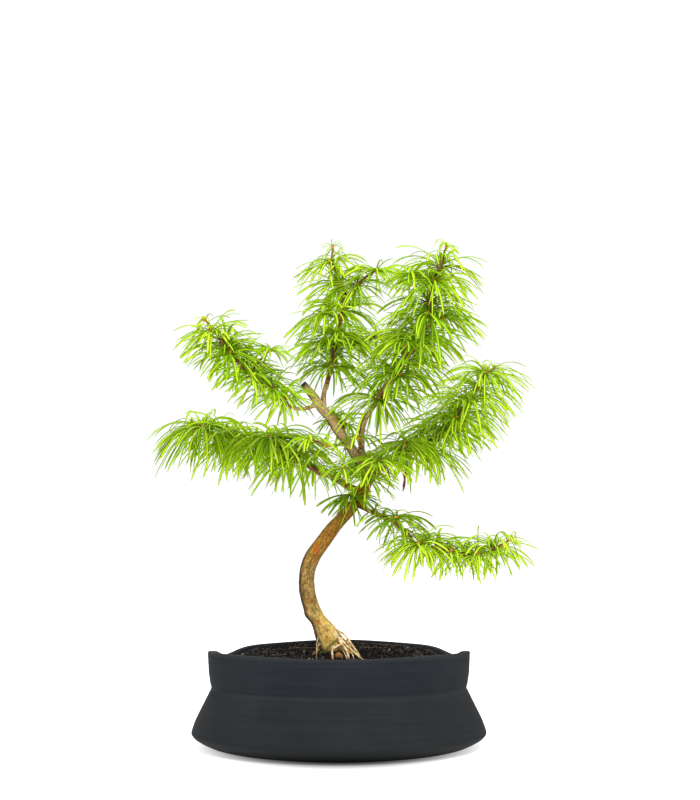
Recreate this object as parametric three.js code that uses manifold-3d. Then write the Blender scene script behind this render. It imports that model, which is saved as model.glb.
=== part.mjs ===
// Golden larch bonsai in a stoneware pot.
// Millimetres. +Z is up, the pot's foot rests on Z = 0, its axis is the Z axis, and the front looks along -Y.
import * as THREE from "three";
import { mergeVertices } from "three/addons/utils/BufferGeometryUtils.js";
import Module from "manifold-3d";

const wasm = await Module();
wasm.setup();

// Clearance between pieces that touch on the real object, and round the roots in the soil.
const SEAT_GAP = 0.3;
const SOCKET_GAP = 0.4;

// Details of a surface finer than this are merged away.
const MERGE_BELOW = 0.02;

// Pot: outer profile from the foot's centre to the lip, then the cavity back down to the floor's centre.
const POT_OUTSIDE = [
  [0, 0], [92, 0], [97, 1.2], [102.7, 3.9], [107.2, 7], [109.4, 10.3], [106.8, 19], [95, 42.8],
  [96.2, 46.6], [97.4, 54], [98, 66],
];
const POT_LIP = [[97.4, 68.4], [95.4, 69], [93, 68]];
const POT_INSIDE = [[91.6, 57], [89.4, 45.5], [101.5, 14], [96, 7], [0, 7]];
const POT_SEGMENTS = 46;
const FLOOR_TOP = 7;
const WAIST_HEIGHT = 46;
const LIP_HEIGHT = 69;

// The hand-pulled rim stands higher at the back and beside the front, and dips behind both sides.
const RIM_FRONT_RISE = 1;
const RIM_BACK_RISE = 2.5;
const RIM_BACK_SPREAD = 30;
const RIM_DIP = 5.5;
const RIM_DIP_ANGLE = 67;
const RIM_DIP_SPREAD = 13;

// Drain holes and the flat meshes over them.
const DRAIN_COUNT = 3;
const DRAIN_RADIUS = 8;
const DRAIN_CIRCLE = 50;
const DRAIN_SIDES = 16;
const MESH_SIDE = 24;
const MESH_THICKNESS = 1;
const MESH_CELLS = 2;
const MESH_BAR = 2;

// Soil: mounded behind the trunk, at [x, y], a little lumpy, and banked up to the rim at the back.
const SOIL_EDGE = 61.5;
const SOIL_MOUND = 4;
const SOIL_MOUND_SPREAD = 45;
const SOIL_CENTRE = [-4, 15];
const SOIL_BELOW_LIP = 1.8;
const SOIL_BANK_FROM = 75;
const SOIL_BANK_FULL = 50;
const SOIL_BANK_POWER = 1.5;
const SOIL_BANK_WIDENING = 0.0013;
const SOIL_LUMP = 0.5;
const SOIL_LUMP_WAVE = 7;
const SOIL_SEGMENTS = 24;
const SOIL_RINGS = [1, 0.8, 0.6, 0.42, 0.27, 0.13, 0];

// Wood: a centreline for the trunk, each limb and each surface root, with radii spaced evenly along it.
const WOOD_STEP = 11;
const TRUNK_SIDES = 8;
const LIMB_SIDES = 6;
const ROOT_SIDES = 5;
const TRUNK = {
  route: [[-2, 0, 56], [-5, 0, 69], [-9, 0, 80], [-16, -2, 91], [-21, -4, 102], [-24, -6, 114],
    [-24, -8, 127], [-20, -8, 139], [-13, -7, 149], [-5, -5, 160], [4, -3, 170], [12, 0, 180],
    [18, 2, 189], [22, 3, 198]],
  radii: [8.5, 9, 9.3, 6.9, 6.1, 6, 5.9, 5.9, 5.7, 5.2, 4.8, 4.7, 4.6, 4.3],
};
const LIMBS = [
  { route: [[22, 3, 195], [18, 2, 207], [12, 1, 217], [5, -1, 227], [-2, -4, 236], [-7, -6, 244],
    [-14, -8, 252], [-20, -9, 261], [-28, -10, 270]],
    radii: [4.3, 4, 3.8, 3.8, 3.7, 3.6, 3.6, 3.3, 2.8] },
  { route: [[16, 1, 210], [17, -2, 222], [17, -5, 232], [20, -10, 243], [26, -14, 252]],
    radii: [3, 2.5, 2.2, 2, 1.9] },
  { route: [[20, 3, 193], [27, 6, 201], [33, 11, 207], [37, 14, 210]], radii: [3.4, 2.8, 2.5, 2.3] },
  { route: [[15, 2, 189], [8, 4, 192], [1, 6, 196], [-8, 10, 201], [-16, 14, 204]],
    radii: [3, 2.5, 2.3, 2.1, 1.9] },
  { route: [[10, -1, 180], [16, -8, 177], [23, -14, 173]], radii: [2.4, 1.8, 1.6] },
  { route: [[-12, -7, 254], [-17, -9, 254], [-24, -12, 251], [-32, -17, 250], [-38, -20, 252]],
    radii: [2.2, 1.7, 1.5, 1.4, 1.4] },
  { route: [[-12, -7, 250], [-12, -2, 262], [-10, 4, 271]], radii: [2.6, 2, 1.8] },
];
const ROOTS = [
  { route: [[-3, -3, 86], [4, -6, 77], [10, -8, 72], [15, -10, 65], [19, -11, 57]],
    radii: [1.5, 1.4, 1.3, 1.2, 1.1] },
  { route: [[-2, -5, 77], [7, -10, 73], [13, -14, 67], [20, -18, 62], [27, -21, 56]],
    radii: [2, 1.6, 1.4, 1.3, 1.2] },
  { route: [[-4, -7, 75], [2, -12, 71], [6, -16, 64], [8, -18, 54]], radii: [2.4, 1.8, 1.6, 1.5] },
  { route: [[-3, -7, 74], [-5, -11.5, 69], [-5.5, -13, 56]], radii: [2, 1.5, 1.4] },
  { route: [[-13, -3, 79], [-16, -6, 71], [-17, -7, 56]], radii: [2, 1.2, 1.2] },
  { route: [[-9, 3, 74], [-18, 8, 67], [-29, 12, 56]], radii: [3.6, 2.6, 1.8] },
  { route: [[-8, 5, 76], [-9, 14, 68], [-12, 25, 56]], radii: [4.2, 2.8, 1.8] },
  { route: [[-3, 3, 76], [6, 10, 68], [17, 18, 56]], radii: [4.2, 2.8, 1.8] },
];

// Needles: a flat top and a keel below, widest in the middle, bending down under their own weight.
const NEEDLE_WIDTH = 1.7;
const NEEDLE_THICKNESS = 0.9;
const NEEDLE_ROOT_SHARE = 0.5;
const NEEDLE_BEND_AT = 0.45;
const LENGTH_SPREAD = 0.12;
const SINGLE_SHARE = 0.62;
const TIP_DROOP_SHARE = 0.7;
const HUB_RADIUS = 2.1;
const ROOT_DEPTH = 1;
const SPUR_RADIUS = 1.1;
const SPUR_SIDES = 3;
const SHORTEST_SPUR = 2.4;
const LOWEST_FACE = -0.3;
const WHORL_LEAN = 0.5;
const WHORL_LIFT = 0.9;

// A needle that meets another piece tries again with a heading further from its wish, and a little shorter.
const NEEDLE_TRIES = 14;
const FIRST_WANDER = 0.18;
const WANDER_STEP = 0.1;
const SHORTER_STEP = 0.02;
const CLEAR_FROM = 0.2;
const FAR_APART = 4;

// Single needles start at this share of a young stem, and lean forwards and up.
const TIP_START = 0.9;
const TIP_FORWARD = 0.6;
const TIP_LIFT = 0.3;

const SHOOT_SIDES = 5;
const SHOOT_STEP = 15;
const CURVE_SAMPLES = 60;
const SEED = 11;
const GOLDEN_ANGLE = Math.PI * (3 - Math.sqrt(5));

// Leafy shoots: stem route and radii, needle length, how far the needles bend down, the whorls' centres with
// the needles in each, and the single needles on the young tip. A shoot sits on the wood unless it names its
// carrier.
const SHOOTS = [
  { name: "shoot_left_upper", route: [[-38, -20, 252], [-42, -22, 256], [-52, -28, 264], [-65, -34, 273],
    [-78, -39, 286], [-84, -42, 293], [-92, -45, 305], [-99, -47, 313]], radii: [1.4, 0.8], length: 31,
    droop: 1.3, needles: 8, tip: 5, whorls: [[-41, -18, 258], [-50, -33, 264], [-59, -24, 272],
    [-66, -42, 274], [-73, -31, 283], [-80, -47, 288], [-85, -37, 297], [-94, -49, 304]] },
  { name: "shoot_left_upper_twig", carrier: "shoot_left_upper", route: [[-66, -34, 274], [-60, -38, 282],
    [-51, -42, 291]], radii: [0.9, 0.7], length: 27, droop: 1.2, needles: 8, tip: 0,
    whorls: [[-51, -42, 291]] },
  { name: "shoot_top_left", route: [[-10, 4, 271], [-6, 9, 285], [-4, 17, 301], [-1, 23, 313],
    [1, 31, 332], [4, 37, 347], [-1, 43, 362], [-6, 49, 378], [-6, 53, 391]], radii: [1.8, 0.8],
    length: 34, droop: 1.5, needles: 9, tip: 5, whorls: [[-6, 0, 284], [-4, 26, 300], [-11, 13, 305],
    [-2, 12, 313], [-11, 22, 330], [4, 40, 335], [-1, 47, 358], [-8, 45, 376]] },
  { name: "shoot_top_left_low_twig", carrier: "shoot_top_left", route: [[-3, 19, 305], [10, 24, 305],
    [20, 28, 308], [30, 32, 313]], radii: [1.1, 0.8], length: 32, droop: 1.5, needles: 8, tip: 0,
    whorls: [[13, 25, 306], [30, 32, 313]] },
  { name: "shoot_top_left_high_twig", carrier: "shoot_top_left", route: [[4, 37, 346], [13, 33, 354],
    [21, 31, 361], [29, 31, 366]], radii: [1, 0.8], length: 30, droop: 1.3, needles: 8, tip: 0,
    whorls: [[14, 31, 354], [29, 31, 366]] },
  { name: "shoot_top_right", route: [[26, -14, 252], [31, -17, 260], [39, -22, 272], [49, -28, 285],
    [59, -33, 299], [66, -38, 319], [71, -42, 344], [75, -43, 354], [80, -45, 369]], radii: [1.9, 0.8],
    length: 38, droop: 1.5, needles: 9, tip: 5, whorls: [[30, -19, 257], [45, -33, 273], [39, -15, 279],
    [51, -20, 287], [60, -41, 299], [60, -25, 304], [66, -46, 318], [67, -31, 329], [70, -50, 341],
    [76, -37, 355]] },
  { name: "shoot_top_right_low_twig", carrier: "shoot_top_right", route: [[50, -28, 286], [48, -38, 296]],
    radii: [1, 0.8], length: 32, droop: 1.4, needles: 8, tip: 0, whorls: [[48, -38, 297]] },
  { name: "shoot_top_right_outer_twig", carrier: "shoot_top_right", route: [[62, -35, 306],
    [70, -33, 312], [77, -31, 317]], radii: [1.1, 0.8], length: 37, droop: 1.5, needles: 9, tip: 0,
    whorls: [[77, -31, 317]] },
  { name: "shoot_top_right_inner_twig", carrier: "shoot_top_right", route: [[69, -40, 335],
    [61, -44, 343], [55, -46, 347]], radii: [1, 0.7], length: 29, droop: 1.3, needles: 8, tip: 0,
    whorls: [[55, -46, 347]] },
  { name: "shoot_right", route: [[37, 14, 210], [48, 22, 218], [57, 28, 221], [69, 34, 227],
    [80, 40, 234], [91, 46, 245], [103, 52, 263], [114, 57, 281], [125, 60, 292]], radii: [2.2, 0.8],
    length: 40, droop: 1.5, needles: 9, tip: 5, whorls: [[57, 35, 222], [71, 28, 222], [74, 46, 232],
    [82, 33, 238], [93, 38, 248], [97, 58, 254], [103, 44, 264], [113, 63, 276], [118, 51, 286]] },
  { name: "shoot_right_front_twig", carrier: "shoot_right", route: [[45, 20, 214], [49, 9, 219],
    [50, 0, 224]], radii: [1.3, 0.8], length: 33, droop: 1.6, needles: 8, tip: 0, whorls: [[48, 11, 221],
    [50, -1, 225]] },
  { name: "shoot_left_lower", route: [[-16, 14, 204], [-19, 16, 206], [-33, 24, 214], [-54, 34, 226],
    [-78, 42, 227], [-91, 46, 232], [-109, 50, 240], [-119, 51, 247]], radii: [1.9, 0.8], length: 43,
    droop: 1.9, needles: 9, tip: 5, whorls: [[-20, 21, 209], [-33, 17, 216], [-46, 38, 225],
    [-54, 24, 231], [-68, 47, 229], [-78, 34, 230], [-92, 54, 235], [-109, 43, 241]] },
  { name: "shoot_right_lower", route: [[23, -14, 173], [27, -18, 171], [34, -24, 168], [42, -30, 164],
    [51, -36, 154], [58, -40, 147], [71, -45, 145], [88, -50, 141], [97, -53, 140], [111, -56, 144],
    [124, -58, 152]], radii: [1.6, 0.8], length: 29, droop: 1.4, needles: 8, tip: 5,
    whorls: [[27, -13, 173], [42, -34, 167], [51, -29, 155], [58, -48, 148], [71, -39, 146],
    [81, -56, 143], [92, -44, 141], [100, -61, 141], [112, -50, 146]] },
  { name: "shoot_fork_front", route: [[13, 1, 182], [8, -11, 186]], radii: [1.3, 1], length: 28,
    droop: 1.9, needles: 8, tip: 0, whorls: [[8, -11, 186]] },
  { name: "shoot_leader_front", route: [[5, -1, 225], [-1, -12, 223], [-9, -22, 222], [-22, -36, 226]],
    radii: [1.1, 0.8], length: 26, droop: 1.6, needles: 7, tip: 0, whorls: [[-9, -22, 222],
    [-22, -36, 226]] },
  { name: "shoot_centre_front", route: [[17, -2, 221], [16, -12, 222], [15, -23, 228]], radii: [1.3, 0.9],
    length: 27, droop: 1.6, needles: 8, tip: 0, whorls: [[15, -23, 228]] },
  { name: "shoot_centre_right", route: [[24, 5, 198], [29, -5, 201], [30, -16, 209]], radii: [1.3, 0.9],
    length: 30, droop: 1.7, needles: 8, tip: 0, whorls: [[30, -17, 210]] },
  { name: "shoot_centre_left", route: [[0, 6, 198], [1, -8, 203], [3, -22, 205]], radii: [1.2, 0.9],
    length: 26, droop: 1.7, needles: 8, tip: 0, whorls: [[3, -23, 205]] },
  { name: "shoot_rear_fork", route: [[21, 4, 198], [23, 18, 203], [22, 32, 211], [17, 46, 219],
    [10, 58, 224]], radii: [1.8, 0.8], length: 31, droop: 1.6, needles: 8, tip: 5, whorls: [[25, 19, 205],
    [19, 33, 213], [19, 47, 221]] },
  { name: "shoot_rear_leader", route: [[2, -2, 231], [3, 12, 238], [0, 26, 246], [-6, 38, 254]],
    radii: [1.6, 0.8], length: 30, droop: 1.5, needles: 8, tip: 5, whorls: [[5, 14, 241],
    [-3, 26, 248]] },
];

const FINISHES = {
  stoneware: { color: 0x2e3136, roughness: 0.8, metalness: 0 },
  mesh: { color: 0x1d1d1d, roughness: 0.6, metalness: 0 },
  soil: { color: 0x211f1d, roughness: 1, metalness: 0 },
  bark: { color: 0xa8824a, roughness: 0.85, metalness: 0 },
  needles: { color: 0x8fc01e, roughness: 0.55, metalness: 0 },
};

const UP = new THREE.Vector3(0, 0, 1);
const point = ([x, y, z]) => new THREE.Vector3(x, y, z);
const radians = THREE.MathUtils.degToRad;

// Repeatable draws between 0 and 1.
function seeded(seed) {
  let state = seed;
  return () => {
    state = (state * 1664525 + 1013904223) % 2 ** 32;
    return state / 2 ** 32;
  };
}

// A closed geometry as a solid that can be joined and cut.
function solidOf(geometry) {
  const bare = geometry.clone();
  bare.deleteAttribute("normal");
  bare.deleteAttribute("uv");
  const merged = mergeVertices(bare, 1e-4);
  return new wasm.Manifold(new wasm.Mesh({
    numProp: 3,
    vertProperties: new Float32Array(merged.attributes.position.array),
    triVerts: new Uint32Array(merged.index.array),
  }));
}

// The outer skin of a solid's largest body, so that no scrap or sealed hollow is left.
function largestBody(solid) {
  return solid.decompose().reduce((best, body) => (body.volume() > best.volume() ? body : best));
}

// A named mesh from a solid.
function meshOf(name, solid, finish) {
  const { vertProperties, triVerts } = largestBody(solid).asOriginal().simplify(MERGE_BELOW).getMesh();
  const geometry = new THREE.BufferGeometry();
  geometry.setAttribute("position", new THREE.BufferAttribute(new Float32Array(vertProperties), 3));
  geometry.setIndex(new THREE.BufferAttribute(new Uint32Array(triVerts), 1));
  geometry.computeVertexNormals();
  const mesh = new THREE.Mesh(geometry, new THREE.MeshStandardMaterial(finish));
  mesh.name = name;
  return mesh;
}

// Moves every vertex of a geometry to where `place` puts it.
function reshape(geometry, place) {
  const positions = geometry.attributes.position;
  for (let i = 0; i < positions.count; i += 1) {
    const moved = place(positions.getX(i), positions.getY(i), positions.getZ(i));
    positions.setXYZ(i, moved.x, moved.y, moved.z);
  }
  return geometry;
}

// The value of an evenly spaced list at a share from 0 to 1.
function sample(values, share) {
  const place = share * (values.length - 1);
  const low = Math.min(Math.floor(place), values.length - 2);
  return THREE.MathUtils.lerp(values[low], values[low + 1], place - low);
}

// A tapered stem along a route: a capped cylinder bent to the curve. `grow` widens it all round.
function stem({ route, radii }, sides, step, grow = 0) {
  const curve = new THREE.CatmullRomCurve3(route.map(point), false, "centripetal");
  const rings = Math.max(1, Math.round(curve.getLength() / step));
  const frames = curve.computeFrenetFrames(rings);
  const cylinder = new THREE.CylinderGeometry(1, 1, rings, sides, rings);
  return solidOf(reshape(cylinder, (x, y, z) => {
    const ring = Math.round(y + rings / 2);
    const end = ring === 0 ? -grow : ring === rings ? grow : 0;
    const radius = sample(radii, ring / rings) + grow;
    return curve.getPointAt(ring / rings)
      .addScaledVector(frames.tangents[ring], end)
      .addScaledVector(frames.binormals[ring], x * radius)
      .addScaledVector(frames.normals[ring], z * radius);
  }));
}

// How far the rim stands above or below its mean height, at an angle round the pot from +X.
function rimWave(angle) {
  if (Math.sin(angle) < 0) return RIM_FRONT_RISE * Math.sin(2 * angle) ** 2;
  const fromBack = Math.abs(THREE.MathUtils.radToDeg(angle) - 90);
  const rise = RIM_BACK_RISE * Math.exp(-((fromBack / RIM_BACK_SPREAD) ** 2));
  return rise - RIM_DIP * Math.exp(-(((fromBack - RIM_DIP_ANGLE) / RIM_DIP_SPREAD) ** 2));
}

// A profile of [radius, height] pairs turned round the Z axis.
function turned(profile, segments) {
  const outline = profile.map(([radius, height]) => new THREE.Vector2(radius, height));
  return new THREE.LatheGeometry(outline, segments).rotateX(Math.PI / 2);
}

// The places of the drain holes, as [x, y].
function drainPlaces() {
  return Array.from({ length: DRAIN_COUNT }, (_, i) => {
    const angle = radians(90 + (360 / DRAIN_COUNT) * i);
    return [DRAIN_CIRCLE * Math.cos(angle), DRAIN_CIRCLE * Math.sin(angle)];
  });
}

// The pot: a turned wall and floor, its collar waved, with drain holes.
function pot() {
  const wall = turned([...POT_OUTSIDE, ...POT_LIP, ...POT_INSIDE], POT_SEGMENTS);
  const body = solidOf(reshape(wall, (x, y, z) => {
    const share = THREE.MathUtils.clamp((z - WAIST_HEIGHT) / (LIP_HEIGHT - WAIST_HEIGHT), 0, 1);
    const wave = share > 0 ? rimWave(Math.atan2(y, x)) : 0;
    return new THREE.Vector3(x, y, z + share * wave);
  }));
  return drainPlaces().reduce((solid, [x, y]) => {
    const drill = new THREE.CylinderGeometry(DRAIN_RADIUS, DRAIN_RADIUS, 4 * FLOOR_TOP, DRAIN_SIDES);
    return solid.subtract(solidOf(drill.rotateX(Math.PI / 2).translate(x, y, 0)));
  }, body);
}

// One square plastic mesh of crossed bars, lying on the pot's floor.
function drainMesh([x, y]) {
  const pitch = (MESH_SIDE - MESH_BAR) / MESH_CELLS;
  const bars = Array.from({ length: MESH_CELLS + 1 }, (_, i) => i * pitch - (MESH_SIDE - MESH_BAR) / 2)
    .flatMap((place) => [
      new THREE.BoxGeometry(MESH_BAR, MESH_SIDE, MESH_THICKNESS).translate(place, 0, 0),
      new THREE.BoxGeometry(MESH_SIDE, MESH_BAR, MESH_THICKNESS).translate(0, place, 0),
    ]);
  const height = FLOOR_TOP + SEAT_GAP + MESH_THICKNESS / 2;
  return wasm.Manifold.union(bars.map((bar) => solidOf(bar.translate(x, y, height))));
}

// How far the soil is banked up towards the rim, at [x, y].
function soilBank(x, y, edge) {
  const angle = Math.atan2(y, x);
  const fromBack = Math.abs(THREE.MathUtils.radToDeg(angle) - 90);
  const full = LIP_HEIGHT - SOIL_BELOW_LIP - SOIL_EDGE + rimWave(angle);
  const follow = 1 - THREE.MathUtils.smoothstep(fromBack, SOIL_BANK_FULL, SOIL_BANK_FROM);
  return follow * full * (Math.hypot(x, y) / edge) ** SOIL_BANK_POWER;
}

// A point of the soil's surface over [x, y].
function soilSurface(x, y, edge) {
  const [cx, cy] = SOIL_CENTRE;
  const mound = SOIL_MOUND * Math.exp(-((Math.hypot(x - cx, y - cy) / SOIL_MOUND_SPREAD) ** 2));
  const lumps = SOIL_LUMP * Math.sin(x / SOIL_LUMP_WAVE) * Math.cos(y / SOIL_LUMP_WAVE + 1);
  const bank = soilBank(x, y, edge);
  const wider = 1 + SOIL_BANK_WIDENING * Math.max(0, bank);
  return new THREE.Vector3(x * wider, y * wider, SOIL_EDGE + mound + lumps + bank);
}

// The soil: the cavity's shape less a clearance, with a mounded top, root sockets and room for the meshes.
function soil() {
  const sides = POT_INSIDE.slice(0, -1).reverse().map(([radius, height]) => [
    radius - 2 * SEAT_GAP,
    Math.max(height, FLOOR_TOP + SEAT_GAP),
  ]);
  const edge = sides[sides.length - 1][0];
  const top = SOIL_RINGS.map((share) => [share * edge, SOIL_EDGE]);
  const fill = turned([[0, FLOOR_TOP + SEAT_GAP], ...sides, ...top], SOIL_SEGMENTS);
  let solid = solidOf(reshape(fill, (x, y, z) => {
    return z < Math.fround(SOIL_EDGE) ? new THREE.Vector3(x, y, z) : soilSurface(x, y, edge);
  }));
  solid = solid.subtract(stem(TRUNK, TRUNK_SIDES, WOOD_STEP, SOCKET_GAP));
  for (const root of ROOTS) solid = solid.subtract(stem(root, ROOT_SIDES, WOOD_STEP, SOCKET_GAP));
  for (const [x, y] of drainPlaces()) {
    const side = MESH_SIDE + 2 * SEAT_GAP;
    const pocket = new THREE.BoxGeometry(side, side, 2 * (MESH_THICKNESS + 2 * SEAT_GAP));
    solid = solid.subtract(solidOf(pocket.translate(x, y, FLOOR_TOP)));
  }
  return solid;
}

// All the bare wood in one: trunk, surface roots, cut leader and limbs.
function wood(grow = 0) {
  return wasm.Manifold.union([
    stem(TRUNK, TRUNK_SIDES, WOOD_STEP, grow),
    ...LIMBS.map((limb) => stem(limb, LIMB_SIDES, WOOD_STEP, grow)),
    ...ROOTS.map((root) => stem(root, ROOT_SIDES, WOOD_STEP, grow)),
  ]);
}

// The straight pieces of a route, as obstacles that other shoots' needles keep clear of.
function obstaclesOf(owner, { route, radii }) {
  return route.slice(1).map((end, i) => ({
    owner,
    start: point(route[i]),
    end: point(end),
    radius: sample(radii, i / (route.length - 1)),
  }));
}

// The least distance between two straight pieces.
function distanceBetween(a, b) {
  const along = a.end.clone().sub(a.start);
  const across = b.end.clone().sub(b.start);
  const offset = a.start.clone().sub(b.start);
  const [aa, bb, ab] = [along.lengthSq(), across.lengthSq(), along.dot(across)];
  const [ao, bo] = [along.dot(offset), across.dot(offset)];
  const spread = aa * bb - ab * ab;
  let s = spread > 1e-9 ? THREE.MathUtils.clamp((ab * bo - bb * ao) / spread, 0, 1) : 0;
  const t = THREE.MathUtils.clamp((ab * s + bo) / bb, 0, 1);
  s = THREE.MathUtils.clamp((ab * t - ao) / aa, 0, 1);
  return offset.addScaledVector(along, s).addScaledVector(across, -t).length();
}

// Whether a needle's pieces keep clear of everything already placed, other than their own whorl.
function isClear(pieces, placed, whorl) {
  return pieces.every((piece) => placed.every((other) => {
    if (other.whorl === whorl) return true;
    const reach = piece.length + (other.length ?? other.start.distanceTo(other.end));
    if (piece.start.distanceToSquared(other.start) > (reach + FAR_APART) ** 2) return true;
    const margin = other.owner === whorl.owner ? 0 : SEAT_GAP;
    return distanceBetween(piece, other) > piece.radius + other.radius + margin;
  }));
}

// A needle's three spine points: it leaves along its heading and bends down.
function needleSpine(root, heading, length, droop) {
  const towards = (share) => heading.clone().addScaledVector(UP, -droop * share).normalize();
  const middle = root.clone().addScaledVector(towards(NEEDLE_BEND_AT / 2), length * NEEDLE_BEND_AT);
  const last = towards((1 + NEEDLE_BEND_AT) / 2);
  return [root, middle, middle.clone().addScaledVector(last, length * (1 - NEEDLE_BEND_AT))];
}

// The solid of a needle: a three-sided cone of two lengths, bent to its spine.
function needleSolid(spine) {
  const cone = new THREE.ConeGeometry(1, 2, 3, 2);
  const along = spine[1].clone().sub(spine[0]).normalize();
  const side = along.clone().cross(UP).normalize();
  const over = side.clone().cross(along);
  return solidOf(reshape(cone, (x, y, z) => {
    const ring = Math.round(y + 1);
    const ringRadius = 1 - ring / 2;
    const share = ring === 0 ? NEEDLE_ROOT_SHARE : 1;
    const across = ringRadius > 0 ? -x / ringRadius * share * NEEDLE_WIDTH / Math.sqrt(3) : 0;
    const below = ringRadius > 0 ? -z / ringRadius * share * NEEDLE_THICKNESS / 1.5 : 0;
    return spine[ring].clone().addScaledVector(side, across).addScaledVector(over, below);
  }));
}

// Finds a clear way for one needle and adds its solid and its pieces. Returns false where there is none.
function addNeedle(whorl, wish, random, placed, solids) {
  for (let attempt = 0; attempt < NEEDLE_TRIES; attempt += 1) {
    const wander = new THREE.Vector3(random() - 0.5, random() - 0.5, random() - 0.5);
    const stray = FIRST_WANDER + WANDER_STEP * attempt;
    const heading = wish.heading.clone().addScaledVector(wander, stray).normalize();
    const length = wish.length * (1 + LENGTH_SPREAD * (random() - 0.5)) * (1 - SHORTER_STEP * attempt);
    const spine = needleSpine(wish.root, heading, length, whorl.droop);
    const clearStart = wish.root.clone().lerp(spine[1], CLEAR_FROM);
    const pieces = [[clearStart, spine[1]], [spine[1], spine[2]]].map(([start, end]) => ({
      owner: whorl.owner, whorl, start, end, length: start.distanceTo(end), radius: NEEDLE_WIDTH / 2,
    }));
    if (isClear(pieces, placed, whorl)) {
      placed.push(...pieces);
      solids.push(needleSolid(spine));
      return true;
    }
  }
  return false;
}

// A whorl's hub, an icosahedron with a corner along the axis, and the outward directions of its faces.
function hub(centre, axis, spin) {
  const shape = new THREE.IcosahedronGeometry(HUB_RADIUS, 0);
  const corner = new THREE.Vector3().fromBufferAttribute(shape.attributes.position, 0).normalize();
  shape.applyQuaternion(new THREE.Quaternion().setFromUnitVectors(corner, axis));
  shape.applyQuaternion(new THREE.Quaternion().setFromAxisAngle(axis, spin));
  const corners = shape.attributes.position;
  const cornerAt = (i) => new THREE.Vector3().fromBufferAttribute(corners, i);
  const faces = Array.from({ length: corners.count / 3 }, (_, i) => (
    cornerAt(3 * i).add(cornerAt(3 * i + 1)).add(cornerAt(3 * i + 2)).normalize()
  ));
  return { faces, solid: solidOf(shape.translate(...centre.toArray())) };
}

// A whorl: its hub, and needles from as many of the hub's upper and side faces as are wanted.
function addWhorl(whorl, count, length, random, placed, solids) {
  const { faces, solid } = hub(whorl.centre, whorl.axis, random() * 2 * Math.PI);
  solids.push(solid);
  const order = faces.filter((face) => face.dot(whorl.axis) > LOWEST_FACE)
    .map((heading) => ({ heading, draw: random() }))
    .sort((a, b) => a.draw - b.draw);
  let grown = 0;
  for (const { heading } of order) {
    if (grown === count) break;
    const root = whorl.centre.clone().addScaledVector(heading, ROOT_DEPTH);
    grown += addNeedle(whorl, { root, heading, length }, random, placed, solids) ? 1 : 0;
  }
}

// Single needles in a spiral on the last stretch of a young shoot, and at its very tip.
function addTip(shoot, curve, random, placed, solids) {
  for (let i = 0; i < shoot.tip; i += 1) {
    const share = THREE.MathUtils.lerp(TIP_START, 1, i / Math.max(1, shoot.tip - 1));
    const along = curve.getTangentAt(share);
    const side = along.clone().cross(UP).normalize();
    const outward = side.applyAxisAngle(along, i * GOLDEN_ANGLE);
    const heading = outward.addScaledVector(along, TIP_FORWARD).addScaledVector(UP, TIP_LIFT).normalize();
    const whorl = { owner: shoot.name, droop: TIP_DROOP_SHARE * shoot.droop };
    const wish = { root: curve.getPointAt(share), heading, length: SINGLE_SHARE * shoot.length };
    addNeedle(whorl, wish, random, placed, solids);
  }
}

// A leafy shoot: its stem, a spur and hub for each whorl, and the needles.
function leafyShoot(shoot, random, placed) {
  const curve = new THREE.CatmullRomCurve3(shoot.route.map(point), false, "centripetal");
  const samples = curve.getSpacedPoints(CURVE_SAMPLES);
  const solids = [stem(shoot, SHOOT_SIDES, SHOOT_STEP)];
  for (const place of shoot.whorls) {
    const centre = point(place);
    const foot = samples.reduce((best, p) => (p.distanceTo(centre) < best.distanceTo(centre) ? p : best));
    const outward = centre.clone().sub(foot);
    if (outward.length() > SHORTEST_SPUR) {
      const spur = { route: [foot.toArray(), centre.toArray()], radii: [SPUR_RADIUS, SPUR_RADIUS] };
      solids.push(stem(spur, SPUR_SIDES, outward.length()));
    }
    const axis = outward.normalize().multiplyScalar(WHORL_LEAN).addScaledVector(UP, WHORL_LIFT).normalize();
    const whorl = { owner: shoot.name, centre, axis, droop: shoot.droop };
    addWhorl(whorl, shoot.needles, shoot.length, random, placed, solids);
  }
  addTip(shoot, curve, random, placed, solids);
  return wasm.Manifold.union(solids);
}

// All leafy shoots, each cut back to a seat on the wood or shoot that carries it.
function leafyShoots() {
  const random = seeded(SEED);
  const placed = [
    ...[TRUNK, ...LIMBS].flatMap((limb) => obstaclesOf("trunk", limb)),
    ...SHOOTS.flatMap((shoot) => obstaclesOf(shoot.name, shoot)),
    ...SHOOTS.flatMap((shoot) => shoot.whorls.map((place) => ({
      owner: shoot.name, start: point(place), end: point(place).add(UP), radius: HUB_RADIUS,
    }))),
  ];
  const widerWood = wood(SEAT_GAP);
  const widerStem = (shoot) => stem(shoot, SHOOT_SIDES, SHOOT_STEP, SEAT_GAP);
  const widerStems = new Map(SHOOTS.map((shoot) => [shoot.name, widerStem(shoot)]));
  return SHOOTS.map((shoot) => {
    const solid = leafyShoot(shoot, random, placed);
    const seated = shoot.carrier ? solid.subtract(widerStems.get(shoot.carrier)) : solid;
    return meshOf(shoot.name, seated.subtract(widerWood), FINISHES.needles);
  });
}

const bonsai = new THREE.Group();
bonsai.name = "golden_larch_bonsai";
bonsai.add(meshOf("pot", pot(), FINISHES.stoneware));
drainPlaces().forEach((place, i) => {
  bonsai.add(meshOf(`drain_mesh_${i + 1}`, drainMesh(place), FINISHES.mesh));
});
bonsai.add(meshOf("soil", soil(), FINISHES.soil));
bonsai.add(meshOf("trunk", wood(), FINISHES.bark));
bonsai.add(...leafyShoots());

export default bonsai;
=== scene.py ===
"""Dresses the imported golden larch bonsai: finer wood, needles, pot and soil, with their finishes.

Lengths in the tables are millimetres, in the part's own frame: +Z is up, the pot's foot rests on
Z = 0 and the front looks along -Y. Meshes are made in metres. Where a class has a pair of bounds,
something is 0 at the first and full at the second.
"""

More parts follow.
